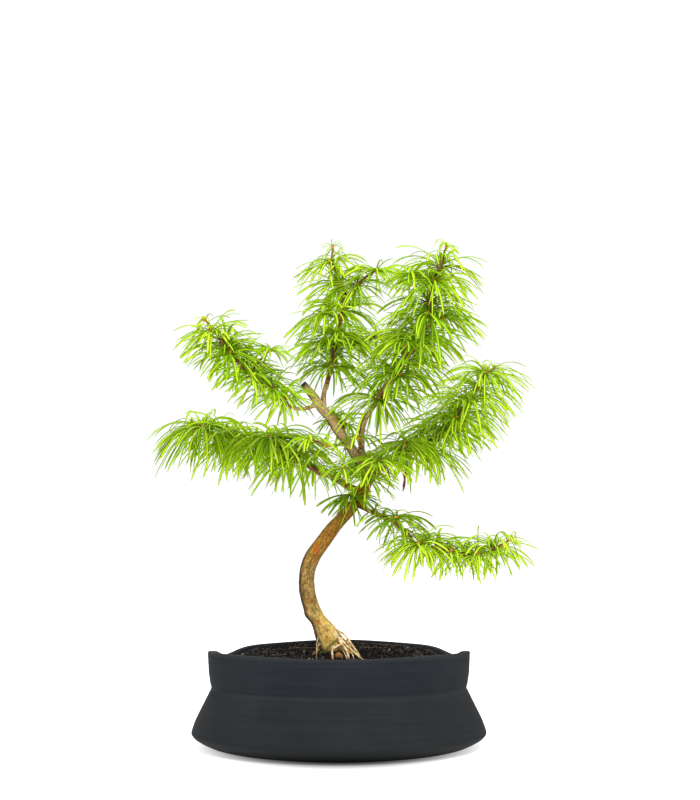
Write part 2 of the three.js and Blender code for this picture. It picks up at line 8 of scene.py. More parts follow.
import logging
import math
from dataclasses import dataclass, field
from enum import Enum
from typing import Callable, ClassVar, Iterable, Sequence

import bpy
import numpy as np
from bpy.types import Material, Mesh, Node, NodeSocket, NodeTree, Object, bpy_prop_collection
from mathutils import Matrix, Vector, noise


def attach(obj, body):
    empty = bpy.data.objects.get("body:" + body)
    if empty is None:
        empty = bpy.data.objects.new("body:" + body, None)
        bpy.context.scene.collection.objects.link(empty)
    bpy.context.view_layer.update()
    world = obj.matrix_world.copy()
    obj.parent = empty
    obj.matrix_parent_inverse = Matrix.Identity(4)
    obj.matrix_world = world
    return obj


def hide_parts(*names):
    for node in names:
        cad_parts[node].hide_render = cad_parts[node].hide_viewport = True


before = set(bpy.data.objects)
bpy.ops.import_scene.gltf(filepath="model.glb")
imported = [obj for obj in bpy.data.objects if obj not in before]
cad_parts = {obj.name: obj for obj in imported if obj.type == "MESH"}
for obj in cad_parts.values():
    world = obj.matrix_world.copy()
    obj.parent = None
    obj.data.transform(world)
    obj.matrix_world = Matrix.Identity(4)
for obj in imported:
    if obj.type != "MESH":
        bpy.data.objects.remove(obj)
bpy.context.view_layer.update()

log = logging.getLogger("bonsai")

MM = 0.001
SEED = 23
GOLDEN_ANGLE = math.pi * (3 - math.sqrt(5))
ROOT_BODY = "root"
Array = np.ndarray
Pair = tuple[float, float]
Triple = tuple[float, float, float]
Colour = tuple[float, float, float, float]
Spots = tuple[tuple[Triple, float, float], ...]
Arrays = tuple[Array, Array]
UP = np.array((0.0, 0.0, 1.0))


class Slot(Enum):
    """The record's material slots."""

    STONEWARE = "stoneware"
    SOIL = "soil"
    BARK = "bark"
    NEEDLES = "needles"


@dataclass(frozen=True)
class Route:
    """A stem's centreline in millimetres, with radii spaced evenly along it."""

    points: tuple[Triple, ...]
    radii: tuple[float, ...]
    fineness: ClassVar[int] = 12

    def line(self, step: float) -> Arrays:
        """Even points along the smooth curve through the route, and their radii.

        Args:
            step: the wanted distance between points.

        Returns:
            The points as rows, and one radius for each.
        """
        given = np.array(self.points, float)
        knots = np.vstack([2 * given[0] - given[1], given, 2 * given[-1] - given[-2]])
        fine = [given[0]]
        for a, b, c, d in zip(knots, knots[1:], knots[2:], knots[3:]):
            before, span, after = (
                math.sqrt(np.linalg.norm(q - p)) for p, q in ((a, b), (b, c), (c, d))
            )
            start = (b - a) / before - (c - a) / (before + span) + (c - b) / span
            end = (c - b) / span - (d - b) / (span + after) + (d - c) / after
            start, end = start * span, end * span
            cubic = 2 * (b - c) + start + end
            square = 3 * (c - b) - 2 * start - end
            for t in np.linspace(0, 1, self.fineness + 1)[1:]:
                fine.append(b + start * t + square * t**2 + cubic * t**3)
        curve = np.array(fine)
        walked = np.append(0, np.cumsum(np.linalg.norm(np.diff(curve, axis=0), axis=1)))
        count = max(2, round(walked[-1] / step) + 1)
        places = np.linspace(0, walked[-1], count)
        even = np.column_stack([np.interp(places, walked, curve[:, i]) for i in range(3)])
        shares = np.linspace(0, 1, len(self.radii))
        return even, np.interp(places / walked[-1], shares, self.radii)


@dataclass(frozen=True)
class Shoot:
    """One leafy shoot: its stem, its needle whorls, and how its needles grow.

    A whorl is its centre's x, y and z, its vigour, where 1 is the usual, and its tone, from 0 for
    deep green to 1 for yellow green. Length is that of its needles and droop how far they bow.
    Reach lengthens the whorls' needles alone, and lift turns the whorls upwards. An extra whorl
    stands off the stem: its centre, the way it faces, its vigour and its tone.
    """

    name: str
    length: float
    droop: float
    stem: Route
    whorls: tuple[tuple[float, float, float, float, float], ...]
    extra: tuple[tuple[Triple, Triple, float, float], ...] = ()
    singles: bool = True
    reach: float = 1
    lift: float = 1.2

    @property
    def centres(self) -> Array:
        """The whorls' centres as rows."""
        return np.array(self.whorls, float)[:, :3]


TRUNK = Route(((-2, 0, 56), (-5, 0, 69), (-9, 0, 80), (-16, -2, 91), (-21, -4, 102),
    (-24, -6, 114), (-24, -8, 127), (-20, -8, 139), (-13, -7, 149), (-5, -5, 160), (4, -3, 170),
    (12, 0, 180), (18, 2, 189), (22, 3, 198)),
    (8.5, 9, 9.3, 6.9, 6.1, 6, 5.9, 5.9, 5.7, 5.2, 4.8, 4.7, 4.6, 4.3))
LIMBS = (
    Route(((22, 3, 195), (18, 2, 207), (12, 1, 217), (5, -1, 227), (-2, -4, 236), (-7, -6, 244),
        (-14, -8, 252), (-20, -9, 261), (-28, -10, 270)),
        (4.3, 4, 3.8, 3.8, 3.7, 3.6, 3.6, 3.3, 2.8)),
    Route(((16, 1, 210), (17, -2, 222), (17, -5, 232), (20, -10, 243), (26, -14, 252)),
        (3, 2.5, 2.2, 2, 1.9)),
    Route(((20, 3, 193), (27, 6, 201), (33, 11, 207), (37, 14, 210)), (3.4, 2.8, 2.5, 2.3)),
    Route(((15, 2, 189), (8, 4, 192), (1, 6, 196), (-8, 10, 201), (-16, 14, 204)),
        (3, 2.5, 2.3, 2.1, 1.9)),
    Route(((10, -1, 180), (16, -8, 177), (23, -14, 173)), (2.4, 1.8, 1.6)),
    Route(((-12, -7, 254), (-17, -9, 254), (-24, -12, 251), (-32, -17, 250), (-38, -20, 252)),
        (2.2, 1.7, 1.5, 1.4, 1.4)),
    Route(((-12, -7, 250), (-12, -2, 262), (-10, 4, 271)), (2.6, 2, 1.8)),
)
ROOTS = (
    Route(((-3, -3, 86), (4, -6, 77), (10, -8, 72), (15, -10, 65), (19, -11, 57)),
        (1.5, 1.4, 1.3, 1.2, 1.1)),
    Route(((-2, -5, 77), (7, -10, 73), (13, -14, 67), (20, -18, 62), (27, -21, 56)),
        (2, 1.6, 1.4, 1.3, 1.2)),
    Route(((-4, -7, 75), (2, -12, 71), (6, -16, 64), (8, -18, 54)), (2.4, 1.8, 1.6, 1.5)),
    Route(((-3, -7, 74), (-5, -11.5, 69), (-5.5, -13, 56)), (2, 1.5, 1.4)),
    Route(((-13, -3, 79), (-16, -6, 71), (-17, -7, 56)), (2, 1.2, 1.2)),
    Route(((-9, 3, 74), (-18, 8, 67), (-29, 12, 56)), (3.6, 2.6, 1.8)),
    Route(((-8, 5, 76), (-9, 14, 68), (-12, 25, 56)), (4.2, 2.8, 1.8)),
    Route(((-3, 3, 76), (6, 10, 68), (17, 18, 56)), (4.2, 2.8, 1.8)),
)
SHOOTS = (
    Shoot(
        "shoot_left_upper", length=31, droop=1.17, reach=1.08,
        stem=Route(((-38, -20, 252), (-42, -22, 256), (-52, -28, 264), (-65, -34, 273),
            (-78, -39, 286), (-84, -42, 293), (-92, -45, 305), (-99, -47, 313)), (1.4, 0.8)),
        whorls=((-41, -18, 258, 0.75, 0.35), (-50, -33, 264, 0.8, 0.5), (-59, -24, 272, 0.8, 0.4),
            (-66, -42, 274, 0.75, 0.55), (-73, -31, 283, 0.65, 0.5), (-80, -47, 288, 0.95, 0.3),
            (-85, -37, 297, 1.15, 0.6), (-94, -49, 304, 0.75, 0.7)),
    ),
    Shoot(
        "shoot_left_upper_twig", length=27, droop=1.2, singles=False,
        stem=Route(((-66, -34, 274), (-60, -38, 282), (-51, -42, 291)), (0.9, 0.7)),
        whorls=((-51, -42, 291, 0.6, 0.4),),
    ),
    Shoot(
        "shoot_top_left", length=34, droop=1.38,
        stem=Route(((-10, 4, 271), (-6, 9, 285), (-4, 17, 301), (-1, 23, 313), (1, 31, 332),
            (4, 37, 347), (-1, 43, 362), (-6, 49, 378), (-6, 53, 391)), (1.8, 0.8)),
        whorls=((-6, 0, 284, 0.95, -0.05), (-4, 26, 300, 1.1, 0.5), (-11, 13, 305, 1, 0.7),
            (-2, 12, 313, 1, 0.45), (-11, 22, 330, 1.1, 0.6), (4, 40, 335, 1.15, 0.7),
            (-1, 47, 358, 1, 0.6), (-8, 45, 376, 0.9, 0.8)),
    ),
    Shoot(
        "shoot_top_left_low_twig", length=32, droop=1.5, singles=False,
        stem=Route(((-3, 19, 305), (10, 24, 305), (20, 28, 308), (30, 32, 313)), (1.1, 0.8)),
        whorls=((13, 25, 306, 1, 0.6), (30, 32, 313, 1, 0.6)),
    ),
    Shoot(
        "shoot_top_left_high_twig", length=30, droop=1.3, singles=False,
        stem=Route(((4, 37, 346), (13, 33, 354), (21, 31, 361), (29, 31, 366)), (1, 0.8)),
        whorls=((14, 31, 354, 1, 0.6), (29, 31, 366, 1, 0.6)),
    ),
    Shoot(
        "shoot_top_right", length=38, droop=1.5, reach=1.02,
        stem=Route(((26, -14, 252), (31, -17, 260), (39, -22, 272), (49, -28, 285),
            (59, -33, 299), (66, -38, 319), (71, -42, 344), (75, -43, 354), (80, -45, 369)),
            (1.9, 0.8)),
        whorls=((30, -19, 257, 1.35, 0.45), (45, -33, 273, 0.9, 0.5), (39, -15, 279, 1, 0.7),
            (51, -20, 287, 1, 0.3), (60, -41, 299, 1.1, 0.6), (60, -25, 304, 1.1, 0.75),
            (66, -46, 318, 1.15, 0.4), (67, -31, 329, 1, 0.7), (70, -50, 341, 1.1, 0.7),
            (76, -37, 355, 0.95, 0.85)),
    ),
    Shoot(
        "shoot_top_right_low_twig", length=32, droop=1.4, singles=False,
        stem=Route(((50, -28, 286), (48, -38, 296)), (1, 0.8)),
        whorls=((48, -38, 297, 1, 0.6),),
    ),
    Shoot(
        "shoot_top_right_outer_twig", length=37, droop=1.5, singles=False,
        stem=Route(((62, -35, 306), (70, -33, 312), (77, -31, 317)), (1.1, 0.8)),
        whorls=((77, -31, 317, 1, 0.6),),
    ),
    Shoot(
        "shoot_top_right_inner_twig", length=29, droop=1.3, singles=False,
        stem=Route(((69, -40, 335), (61, -44, 343), (55, -46, 347)), (1, 0.7)),
        whorls=((55, -46, 347, 1, 0.6),),
    ),
    Shoot(
        "shoot_right", length=40, droop=1.5, lift=1.4,
        stem=Route(((37, 14, 210), (48, 22, 218), (57, 28, 221), (69, 34, 227), (80, 40, 234),
            (91, 46, 245), (103, 52, 263), (114, 57, 281), (125, 60, 292)), (2.2, 0.8)),
        whorls=((57, 35, 222, 0.7, 0.7), (71, 28, 222, 0.9, 0.6), (74, 46, 232, 0.85, 0.4),
            (82, 33, 238, 1.1, 0.6), (93, 38, 248, 1.2, 0.7), (97, 58, 254, 1.15, 0.8),
            (103, 44, 264, 1.15, 0.75), (113, 63, 276, 1.1, 0.8), (118, 51, 286, 1.1, 0.95)),
    ),
    Shoot(
        "shoot_right_front_twig", length=33, droop=1.6, singles=False,
        stem=Route(((45, 20, 214), (49, 9, 219), (50, 0, 224)), (1.3, 0.8)),
        whorls=((48, 11, 221, 1, 0.65), (50, -1, 225, 0.9, 0.55)),
    ),
    Shoot(
        "shoot_left_lower", length=43, droop=1.748, reach=1.06, lift=1.5,
        stem=Route(((-16, 14, 204), (-19, 16, 206), (-33, 24, 214), (-54, 34, 226),
            (-78, 42, 227), (-91, 46, 232), (-109, 50, 240), (-119, 51, 247)), (1.9, 0.8)),
        whorls=((-20, 21, 209, 0.7, 0.3), (-33, 17, 216, 0.9, 0.4), (-46, 38, 225, 1, 0.5),
            (-54, 24, 231, 2.4, 0.55), (-68, 47, 229, 0.9, 0.6), (-78, 34, 230, 0.9, 0.5),
            (-92, 54, 235, 1.3, 0.75), (-109, 43, 241, 2.4, 0.55)),
    ),
    Shoot(
        "shoot_right_lower", length=29, droop=1.4, reach=1.1,
        stem=Route(((23, -14, 173), (27, -18, 171), (34, -24, 168), (42, -30, 164),
            (51, -36, 154), (58, -40, 147), (71, -45, 145), (88, -50, 141), (97, -53, 140),
            (111, -56, 144), (124, -58, 152)), (1.6, 0.8)),
        whorls=((27, -13, 173, 0.3, 0), (42, -34, 167, 0.75, -0.1), (51, -29, 155, 0.25, 0.8),
            (58, -48, 148, 1.4, 1.15), (71, -39, 146, 0.5, 0.35), (81, -56, 143, 0.35, 0.9),
            (92, -44, 141, 0.6, 1.15), (100, -61, 141, 0.55, 1.1), (112, -50, 146, 1, 1.2)),
    ),
    Shoot(
        "shoot_fork_front", length=28, droop=0.95, singles=False, reach=0.92, lift=-0.45,
        stem=Route(((13, 1, 182), (8, -11, 186)), (1.3, 1)),
        whorls=((8, -11, 186, 1, -0.15),),
        extra=(((10.5, -13, 182), (0.3, -1, -0.4), 0.5, -0.1),),
    ),
    Shoot(
        "shoot_leader_front", length=26, droop=1.6, singles=False,
        stem=Route(((5, -1, 225), (-1, -12, 223), (-9, -22, 222), (-22, -36, 226)), (1.1, 0.8)),
        whorls=((-9, -22, 222, 0.42, 0.8), (-22, -36, 226, 0.38, 0.6)),
    ),
    Shoot(
        "shoot_centre_front", length=27, droop=1.6, singles=False,
        stem=Route(((17, -2, 221), (16, -12, 222), (15, -23, 228)), (1.3, 0.9)),
        whorls=((15, -23, 228, 0.4, 0.15),),
    ),
    Shoot(
        "shoot_centre_right", length=30, droop=1.275, singles=False,
        stem=Route(((24, 5, 198), (29, -5, 201), (30, -16, 209)), (1.3, 0.9)),
        whorls=((30, -17, 210, 1.3, 0.6),),
        extra=(((20.3, -8.5, 198), (0.2, -1, 0.3), 0.8, 0.75),
            ((14, -8.5, 206), (-0.2, -1, 0.3), 0.65, 0.55)),
    ),
    Shoot(
        "shoot_centre_left", length=26, droop=1.7, singles=False,
        stem=Route(((0, 6, 198), (1, -8, 203), (3, -22, 205)), (1.2, 0.9)),
        whorls=((3, -23, 205, 0.45, 0.55),),
    ),
    Shoot(
        "shoot_rear_fork", length=31, droop=1.6,
        stem=Route(((21, 4, 198), (23, 18, 203), (22, 32, 211), (17, 46, 219), (10, 58, 224)),
            (1.8, 0.8)),
        whorls=((25, 19, 205, 0.4, 0.3), (19, 33, 213, 0.4, 0.1), (19, 47, 221, 0.35, 0.1)),
    ),
    Shoot(
        "shoot_rear_leader", length=30, droop=1.5,
        stem=Route(((2, -2, 231), (3, 12, 238), (0, 26, 246), (-6, 38, 254)), (1.6, 0.8)),
        whorls=((5, 14, 241, 0.3, 0.3), (-3, 26, 248, 0.3, 0.3)),
    ),
)


# Modelling helpers.


def ramp(values: Array, start: float, end: float) -> Array:
    """0 up to the start and 1 from the end on, straight between; the start may be the larger."""
    return np.clip((values - start) / (end - start), 0, 1)


def bell(values: Array, width: float) -> Array:
    """1 at 0, falling off on both sides, to about a third at this width."""
    return np.exp(-((values / width) ** 2))


def unit(vectors: Array) -> Array:
    """The vectors, each made 1 long."""
    return vectors / np.linalg.norm(vectors, axis=-1, keepdims=True)


def lumps(points: Array, grain: Triple | float, shift: Triple | float = 0) -> Array:
    """Smooth random numbers round 0.

    Args:
        points: where they are wanted, as rows.
        grain: how large the lumps are, or how large along each axis.
        shift: moves the pattern.

    Returns:
        One number for each point.
    """
    return np.array([noise.noise(tuple(spot)) for spot in points / np.array(grain) + shift])


def pick(*objects: Object) -> None:
    """Selects these objects alone, in object mode.

    Args:
        objects: the objects, of which the first becomes the active one.
    """
    if bpy.context.object and bpy.context.mode != "OBJECT":
        bpy.ops.object.mode_set(mode="OBJECT")
    bpy.ops.object.select_all(action="DESELECT")
    for obj in objects:
        obj.select_set(True)
    if objects:
        bpy.context.view_layer.objects.active = objects[0]


def edit(obj: Object, kind: str = "VERT") -> None:
    """Opens one object in edit mode, with all of it selected.

    Args:
        obj: the object.
        kind: the kind of element to select.
    """
    pick(obj)
    bpy.ops.object.mode_set(mode="EDIT")
    bpy.ops.mesh.select_mode(type=kind)
    bpy.ops.mesh.select_all(action="SELECT")


def apply_modifier(obj: Object, kind: str, **settings: object) -> None:
    """Adds a modifier, sets it up and applies it.

    Args:
        obj: the object to shape.
        kind: the modifier's type.
        settings: the modifier's own properties.
    """
    pick(obj)
    bpy.ops.object.modifier_add(type=kind)
    modifier = obj.modifiers[-1]
    for key, value in settings.items():
        setattr(modifier, key, value)
    bpy.ops.object.modifier_apply(modifier=modifier.name)


def rows_of(items: bpy_prop_collection, key: str) -> Array:
    """Reads one vector for each of a mesh's items.

    Args:
        items: the vertices or the vertex normals.
        key: the property that holds the vector.

    Returns:
        The vectors as rows.
    """
    flat = np.empty(len(items) * 3, np.float32)
    items.foreach_get(key, flat)
    return flat.reshape(-1, 3).astype(float)


def positions(mesh: Mesh) -> Array:
    """A mesh's vertices as rows, in metres."""
    return rows_of(mesh.vertices, "co")


def normals(mesh: Mesh) -> Array:
    """A mesh's vertex normals as rows."""
    return rows_of(mesh.vertex_normals, "vector")


def set_positions(mesh: Mesh, points: Array) -> None:
    """Moves a mesh's vertices to these rows, in metres."""
    mesh.vertices.foreach_set("co", points.astype(np.float32).ravel())
    mesh.update()


def push_out(mesh: Mesh, push: Array) -> None:
    """Moves each vertex along its normal by its number of millimetres."""
    set_positions(mesh, positions(mesh) + normals(mesh) * push[:, None] * MM)


def store(mesh: Mesh, name: str, values: Array) -> None:
    """Keeps something for each vertex that the materials read.

    Args:
        mesh: the mesh.
        name: what the materials call it.
        values: one number, or one row of three, for each vertex.
    """
    kind, key = ("FLOAT", "value") if values.ndim == 1 else ("FLOAT_VECTOR", "vector")
    made = mesh.attributes.new(name, kind, "POINT")
    made.data.foreach_set(key, values.astype(np.float32).ravel())


def settle(obj: Object, finish: "Finish", smooth_below: float) -> None:
    """Names a finished piece's body and material, and shades it.

    Args:
        obj: the piece, in place.
        finish: what it is made of.
        smooth_below: faces that meet at less than this many degrees look rounded.
    """
    pick(obj)
    bpy.ops.object.transform_apply(location=True, rotation=True, scale=True)
    bpy.ops.object.shade_smooth_by_angle(angle=math.radians(smooth_below))
    obj.data.materials.clear()
    obj.data.materials.append(finish.material())
    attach(obj, ROOT_BODY)


def fuse(
    objects: Sequence[Object], name: str, voxel: float, smoothing: int = 0
) -> Object:
    """Joins overlapping closed pieces under one skin.

    Args:
        objects: the pieces, which are used up.
        name: the joined object's name.
        voxel: the skin's cell size in millimetres.
        smoothing: how many times the skin is smoothed.

    Returns:
        The joined object.
    """
    pick(*objects)
    bpy.ops.object.join()
    joined = bpy.context.view_layer.objects.active
    joined.name = name
    apply_modifier(joined, "REMESH", mode="VOXEL", voxel_size=voxel * MM)
    if smoothing:
        apply_modifier(joined, "SMOOTH", factor=0.5, iterations=smoothing)
    return joined


def tube(route: Route, step: float, sides: int = 12) -> Object:
    """A closed round tube along a route, tapered by its radii.

    Args:
        route: the centreline and radii.
        step: distance between rings, in millimetres.
        sides: about how many sides it has.

    Returns:
        The tube as a mesh object.
    """
    points, radii = route.line(step)
    data = bpy.data.curves.new("tube", "CURVE")
    data.dimensions = "3D"
    data.bevel_depth = 1
    data.bevel_resolution = max(0, (sides - 4) // 2)
    data.use_fill_caps = True
    spline = data.splines.new("POLY")
    spline.points.add(len(points) - 1)
    rows = np.column_stack([points * MM, np.ones(len(points))])
    spline.points.foreach_set("co", rows.ravel())
    spline.points.foreach_set("radius", radii * MM)
    obj = bpy.data.objects.new("tube", data)
    bpy.context.scene.collection.objects.link(obj)
    pick(obj)
    bpy.ops.object.convert(target="MESH")
    return bpy.context.view_layer.objects.active


def ball(centre: Sequence[float], radius: float, rounds: int, shape: Triple) -> Object:
    """A ball, stretched a little.

    Args:
        centre: its middle, in millimetres.
        radius: its radius in millimetres.
        rounds: how many times its faces are divided.
        shape: how far it is stretched along each axis.

    Returns:
        The ball.
    """
    pick()
    place = [value * MM for value in centre]
    bpy.ops.mesh.primitive_ico_sphere_add(subdivisions=rounds, radius=radius * MM, location=place)
    bpy.ops.transform.resize(value=shape)
    return bpy.context.object


def turned(name: str, profile: Sequence[Pair], steps: int) -> Object:
    """A closed shape spun round the Z axis from a profile drawn with extrusions.

    Args:
        name: the object's name.
        profile: [radius, height] pairs in millimetres, which start and end on the axis.
        steps: how many sides the turn has.

    Returns:
        The object, with its faces pointing outwards.
    """
    pick()
    bpy.ops.mesh.primitive_plane_add(size=MM)
    obj = bpy.context.object
    obj.name = name
    edit(obj)
    bpy.ops.mesh.merge(type="CENTER")
    here = Vector((profile[0][0], 0, profile[0][1])) * MM
    bpy.ops.transform.translate(value=here)
    for radius, height in profile[1:]:
        there = Vector((radius, 0, height)) * MM
        bpy.ops.mesh.extrude_region_move(TRANSFORM_OT_translate={"value": there - here})
        here = there
    bpy.ops.mesh.select_all(action="SELECT")
    bpy.ops.mesh.spin(steps=steps, angle=2 * math.pi, center=(0, 0, 0), axis=(0, 0, 1))
    bpy.ops.mesh.select_all(action="SELECT")
    bpy.ops.mesh.remove_doubles(threshold=0.002 * MM)
    bpy.ops.mesh.select_all(action="SELECT")
    bpy.ops.mesh.normals_make_consistent(inside=False)
    bpy.ops.object.mode_set(mode="OBJECT")
    return obj


def eased(profile: Sequence[Pair], step: float, rounds: int = 1) -> Array:
    """A profile with points at most a step apart and its corners eased.

    Args:
        profile: [radius, height] pairs.
        step: the longest distance between points.
        rounds: how many times each point moves towards its neighbours' middle.

    Returns:
        The points as rows, the first and last where they were.
    """
    corners = np.array(profile, float)
    points = [corners[0]]
    for a, b in zip(corners, corners[1:]):
        count = max(1, math.ceil(np.linalg.norm(b - a) / step))
        points += [a + (b - a) * (i + 1) / count for i in range(count)]
    line = np.array(points)
    for _ in range(rounds):
        line[1:-1] = 0.5 * line[1:-1] + 0.25 * (line[:-2] + line[2:])
    return line


@dataclass(frozen=True)
class Pattern:
    """A shape modelled once, as arrays that copies are made from."""

    points: Array
    faces: Array

    @staticmethod
    def take(obj: Object) -> "Pattern":
        """Keeps an object's mesh as a pattern and removes the object.

        Args:
            obj: the object, whose faces all have as many corners.

        Returns:
            The pattern.
        """
        faces = np.array([tuple(face.vertices) for face in obj.data.polygons])
        made = Pattern(positions(obj.data), faces)
        data = obj.data
        bpy.data.objects.remove(obj)
        bpy.data.meshes.remove(data)
        return made

    def copies(self, name: str, places: Array) -> Object:
        """One object from many copies.

        Args:
            name: the object's name.
            places: where each copy's vertices are, as copies x vertices x 3, in metres.

        Returns:
            The object.
        """
        count, size = len(places), len(self.points)
        corners = self.faces.shape[1]
        faces = (self.faces[None] + size * np.arange(count)[:, None, None]).reshape(-1, corners)
        mesh = bpy.data.meshes.new(name)
        mesh.vertices.add(count * size)
        mesh.vertices.foreach_set("co", places.astype(np.float32).ravel())
        mesh.loops.add(faces.size)
        mesh.loops.foreach_set("vertex_index", faces.astype(np.int32).ravel())
        mesh.polygons.add(len(faces))
        starts = np.arange(0, faces.size, corners, dtype=np.int32)
        mesh.polygons.foreach_set("loop_start", starts)
        mesh.update(calc_edges=True)
        mesh.validate()
        obj = bpy.data.objects.new(name, mesh)
        bpy.context.scene.collection.objects.link(obj)
        return obj


# Shader helpers.


def arithmetic(operation: str, swapped: bool = False) -> Callable[["Wire", object], "Wire"]:
    """An operator method that adds a Math node.

    Args:
        operation: the node's operation.
        swapped: whether the wire is the second operand.

    Returns:
        The method.
    """

    def method(self: "Wire", other: "Wire | float") -> "Wire":
        """The operation's result."""
        pair = (other, self) if swapped else (self, other)
        return self.graph.node("ShaderNodeMath", {"operation": operation}, dict(enumerate(pair)))

    return method


@dataclass(frozen=True)
class Wire:
    """A node's output, which takes part in Python arithmetic."""

    graph: "Graph"
    socket: NodeSocket

    __add__ = arithmetic("ADD")
    __radd__ = arithmetic("ADD", swapped=True)
    __sub__ = arithmetic("SUBTRACT")
    __mul__ = arithmetic("MULTIPLY")
    __rmul__ = arithmetic("MULTIPLY", swapped=True)


@dataclass(frozen=True)
class Graph:
    """A node tree that is written as Python expressions."""

    tree: NodeTree

    def node(
        self,
        kind: str,
        settings: dict | None = None,
        inputs: dict | None = None,
        output: int | str = 0,
    ) -> Wire:
        """Adds one node.

        Args:
            kind: the node's type.
            settings: its own properties.
            inputs: a number, colour or wire for each socket, by name or index.
            output: the socket that is wanted.

        Returns:
            The wanted output.
        """
        made = self.tree.nodes.new(kind)
        for key, value in (settings or {}).items():
            setattr(made, key, value)
        self.feed(made, inputs or {})
        return Wire(self, made.outputs[output])

    def feed(self, made: Node, inputs: dict) -> None:
        """Links or sets a node's inputs.

        Args:
            made: the node.
            inputs: a number, colour or wire for each socket, by name or index.
        """
        for key, value in inputs.items():
            if isinstance(value, Wire):
                self.tree.links.new(value.socket, made.inputs[key])
            else:
                made.inputs[key].default_value = value

    def end(self, kind: str, surface: Wire) -> None:
        """Adds the tree's output node."""
        self.feed(self.tree.nodes.new(kind), {"Surface": surface})

    def place(self) -> Wire:
        """Where a point is on the piece, in metres."""
        return self.node("ShaderNodeTexCoord", output="Object")

    def kept(self, name: str, output: str = "Fac") -> Wire:
        """A number, or with Vector as its output a vector, that was stored on the mesh."""
        return self.node("ShaderNodeAttribute", {"attribute_name": name}, output=output)

    def stretched(self, vector: Wire, scale: Triple, offset: Triple = (0, 0, 0)) -> Wire:
        """A vector scaled along each axis and moved."""
        settings = {"operation": "MULTIPLY_ADD"}
        return self.node("ShaderNodeVectorMath", settings, {0: vector, 1: scale, 2: offset})

    def noise(self, vector: Wire, scale: float, detail: float = 3, rough: float = 0.5) -> Wire:
        """Soft random values round 0.5."""
        inputs = {"Vector": vector, "Scale": scale, "Detail": detail, "Roughness": rough}
        return self.node("ShaderNodeTexNoise", {}, inputs, "Fac")

    def cells(self, vector: Wire, scale: float) -> Wire:
        """Distances in a pattern of cells."""
        inputs = {"Vector": vector, "Scale": scale}
        return self.node("ShaderNodeTexVoronoi", {}, inputs, "Distance")

    def step(self, value: Wire, low: float, high: float) -> Wire:
        """A soft step from 0 at low to 1 at high, or down where high is the lower.

        Args:
            value: what is compared.
            low: where the step is 0.
            high: where it is 1.

        Returns:
            The step.
        """
        settings = {"interpolation_type": "SMOOTHSTEP"}
        inputs = {"Value": value, "From Min": low, "From Max": high}
        return self.node("ShaderNodeMapRange", settings, inputs)

    def above(self, low: float, high: float, ragged: "Wire | float" = 0) -> Wire:
        """A soft step between two heights.

        Args:
            low: where it is 0, in millimetres.
            high: where it is 1, in millimetres.
            ragged: what is added to the height, in metres.

        Returns:
            The step.
        """
        height = self.node("ShaderNodeSeparateXYZ", {}, {0: self.place()}, "Z")
        return self.step(height + ragged, low * MM, high * MM)

    def layered(self, base: object, *layers: tuple[object, object]) -> Wire:
        """Colours laid over one another.

        Args:
            base: the lowest colour.
            layers: how much of each next one shows, and its colour.

        Returns:
            The colour.
        """
        for share, colour in layers:
            inputs = {0: share, 6: base, 7: colour}
            base = self.node("ShaderNodeMix", {"data_type": "RGBA"}, inputs, 2)
        return base

    def near(self, centre: Triple, reach: float, edge: float) -> Wire:
        """1 within a distance of a point, falling to 0 over a ragged edge.

        Args:
            centre: the point, in millimetres.
            reach: how far the middle of the edge is from it, in millimetres.
            edge: how wide the edge is, in millimetres.

        Returns:
            The mask.
        """
        inputs = {0: self.place(), 1: tuple(c * MM for c in centre)}
        distance = self.node("ShaderNodeVectorMath", {"operation": "DISTANCE"}, inputs, "Value")
        ragged = distance + (self.noise(self.place(), 260, 4) - 0.5) * (reach * MM)
        return self.step(ragged, (reach + edge / 2) * MM, (reach - edge / 2) * MM)

    def relief(self, height: Wire, depth: float, strength: float) -> Wire:
        """A bump from a height between 0 and 1 that is worth depth millimetres."""
        inputs = {"Strength": strength, "Distance": depth * MM, "Height": height}
        return self.node("ShaderNodeBump", {}, inputs)

    def surface(
        self, colour: Wire, rough: Wire, specular: float = 0.5, bump: Wire | None = None
    ) -> Wire:
        """An opaque surface.

        Args:
            colour: its colour.
            rough: its roughness.
            specular: its specular level.
            bump: its relief.

        Returns:
            The shader.
        """
        inputs = {"Base Color": colour, "Roughness": rough, "Specular IOR Level": specular}
        if bump:
            inputs["Normal"] = bump
        return self.node("ShaderNodeBsdfPrincipled", {}, inputs)


# Finishes.


@dataclass(frozen=True)
class Finish:
    """What a piece is made of."""

    name: str

    def material(self) -> Material:
        """The finish as a material, made on its first use.

        Returns:
            The material.
        """
        found = bpy.data.materials.get(self.name)
        if found:
            return found
        made = bpy.data.materials.new(self.name)
        made.use_nodes = True
        made.node_tree.nodes.clear()
        graph = Graph(made.node_tree)
        graph.end("ShaderNodeOutputMaterial", self.shade(graph))
        return made

    def shade(self, graph: Graph) -> Wire:
        """The surface shader, which each finish gives in its own way."""
        raise NotImplementedError


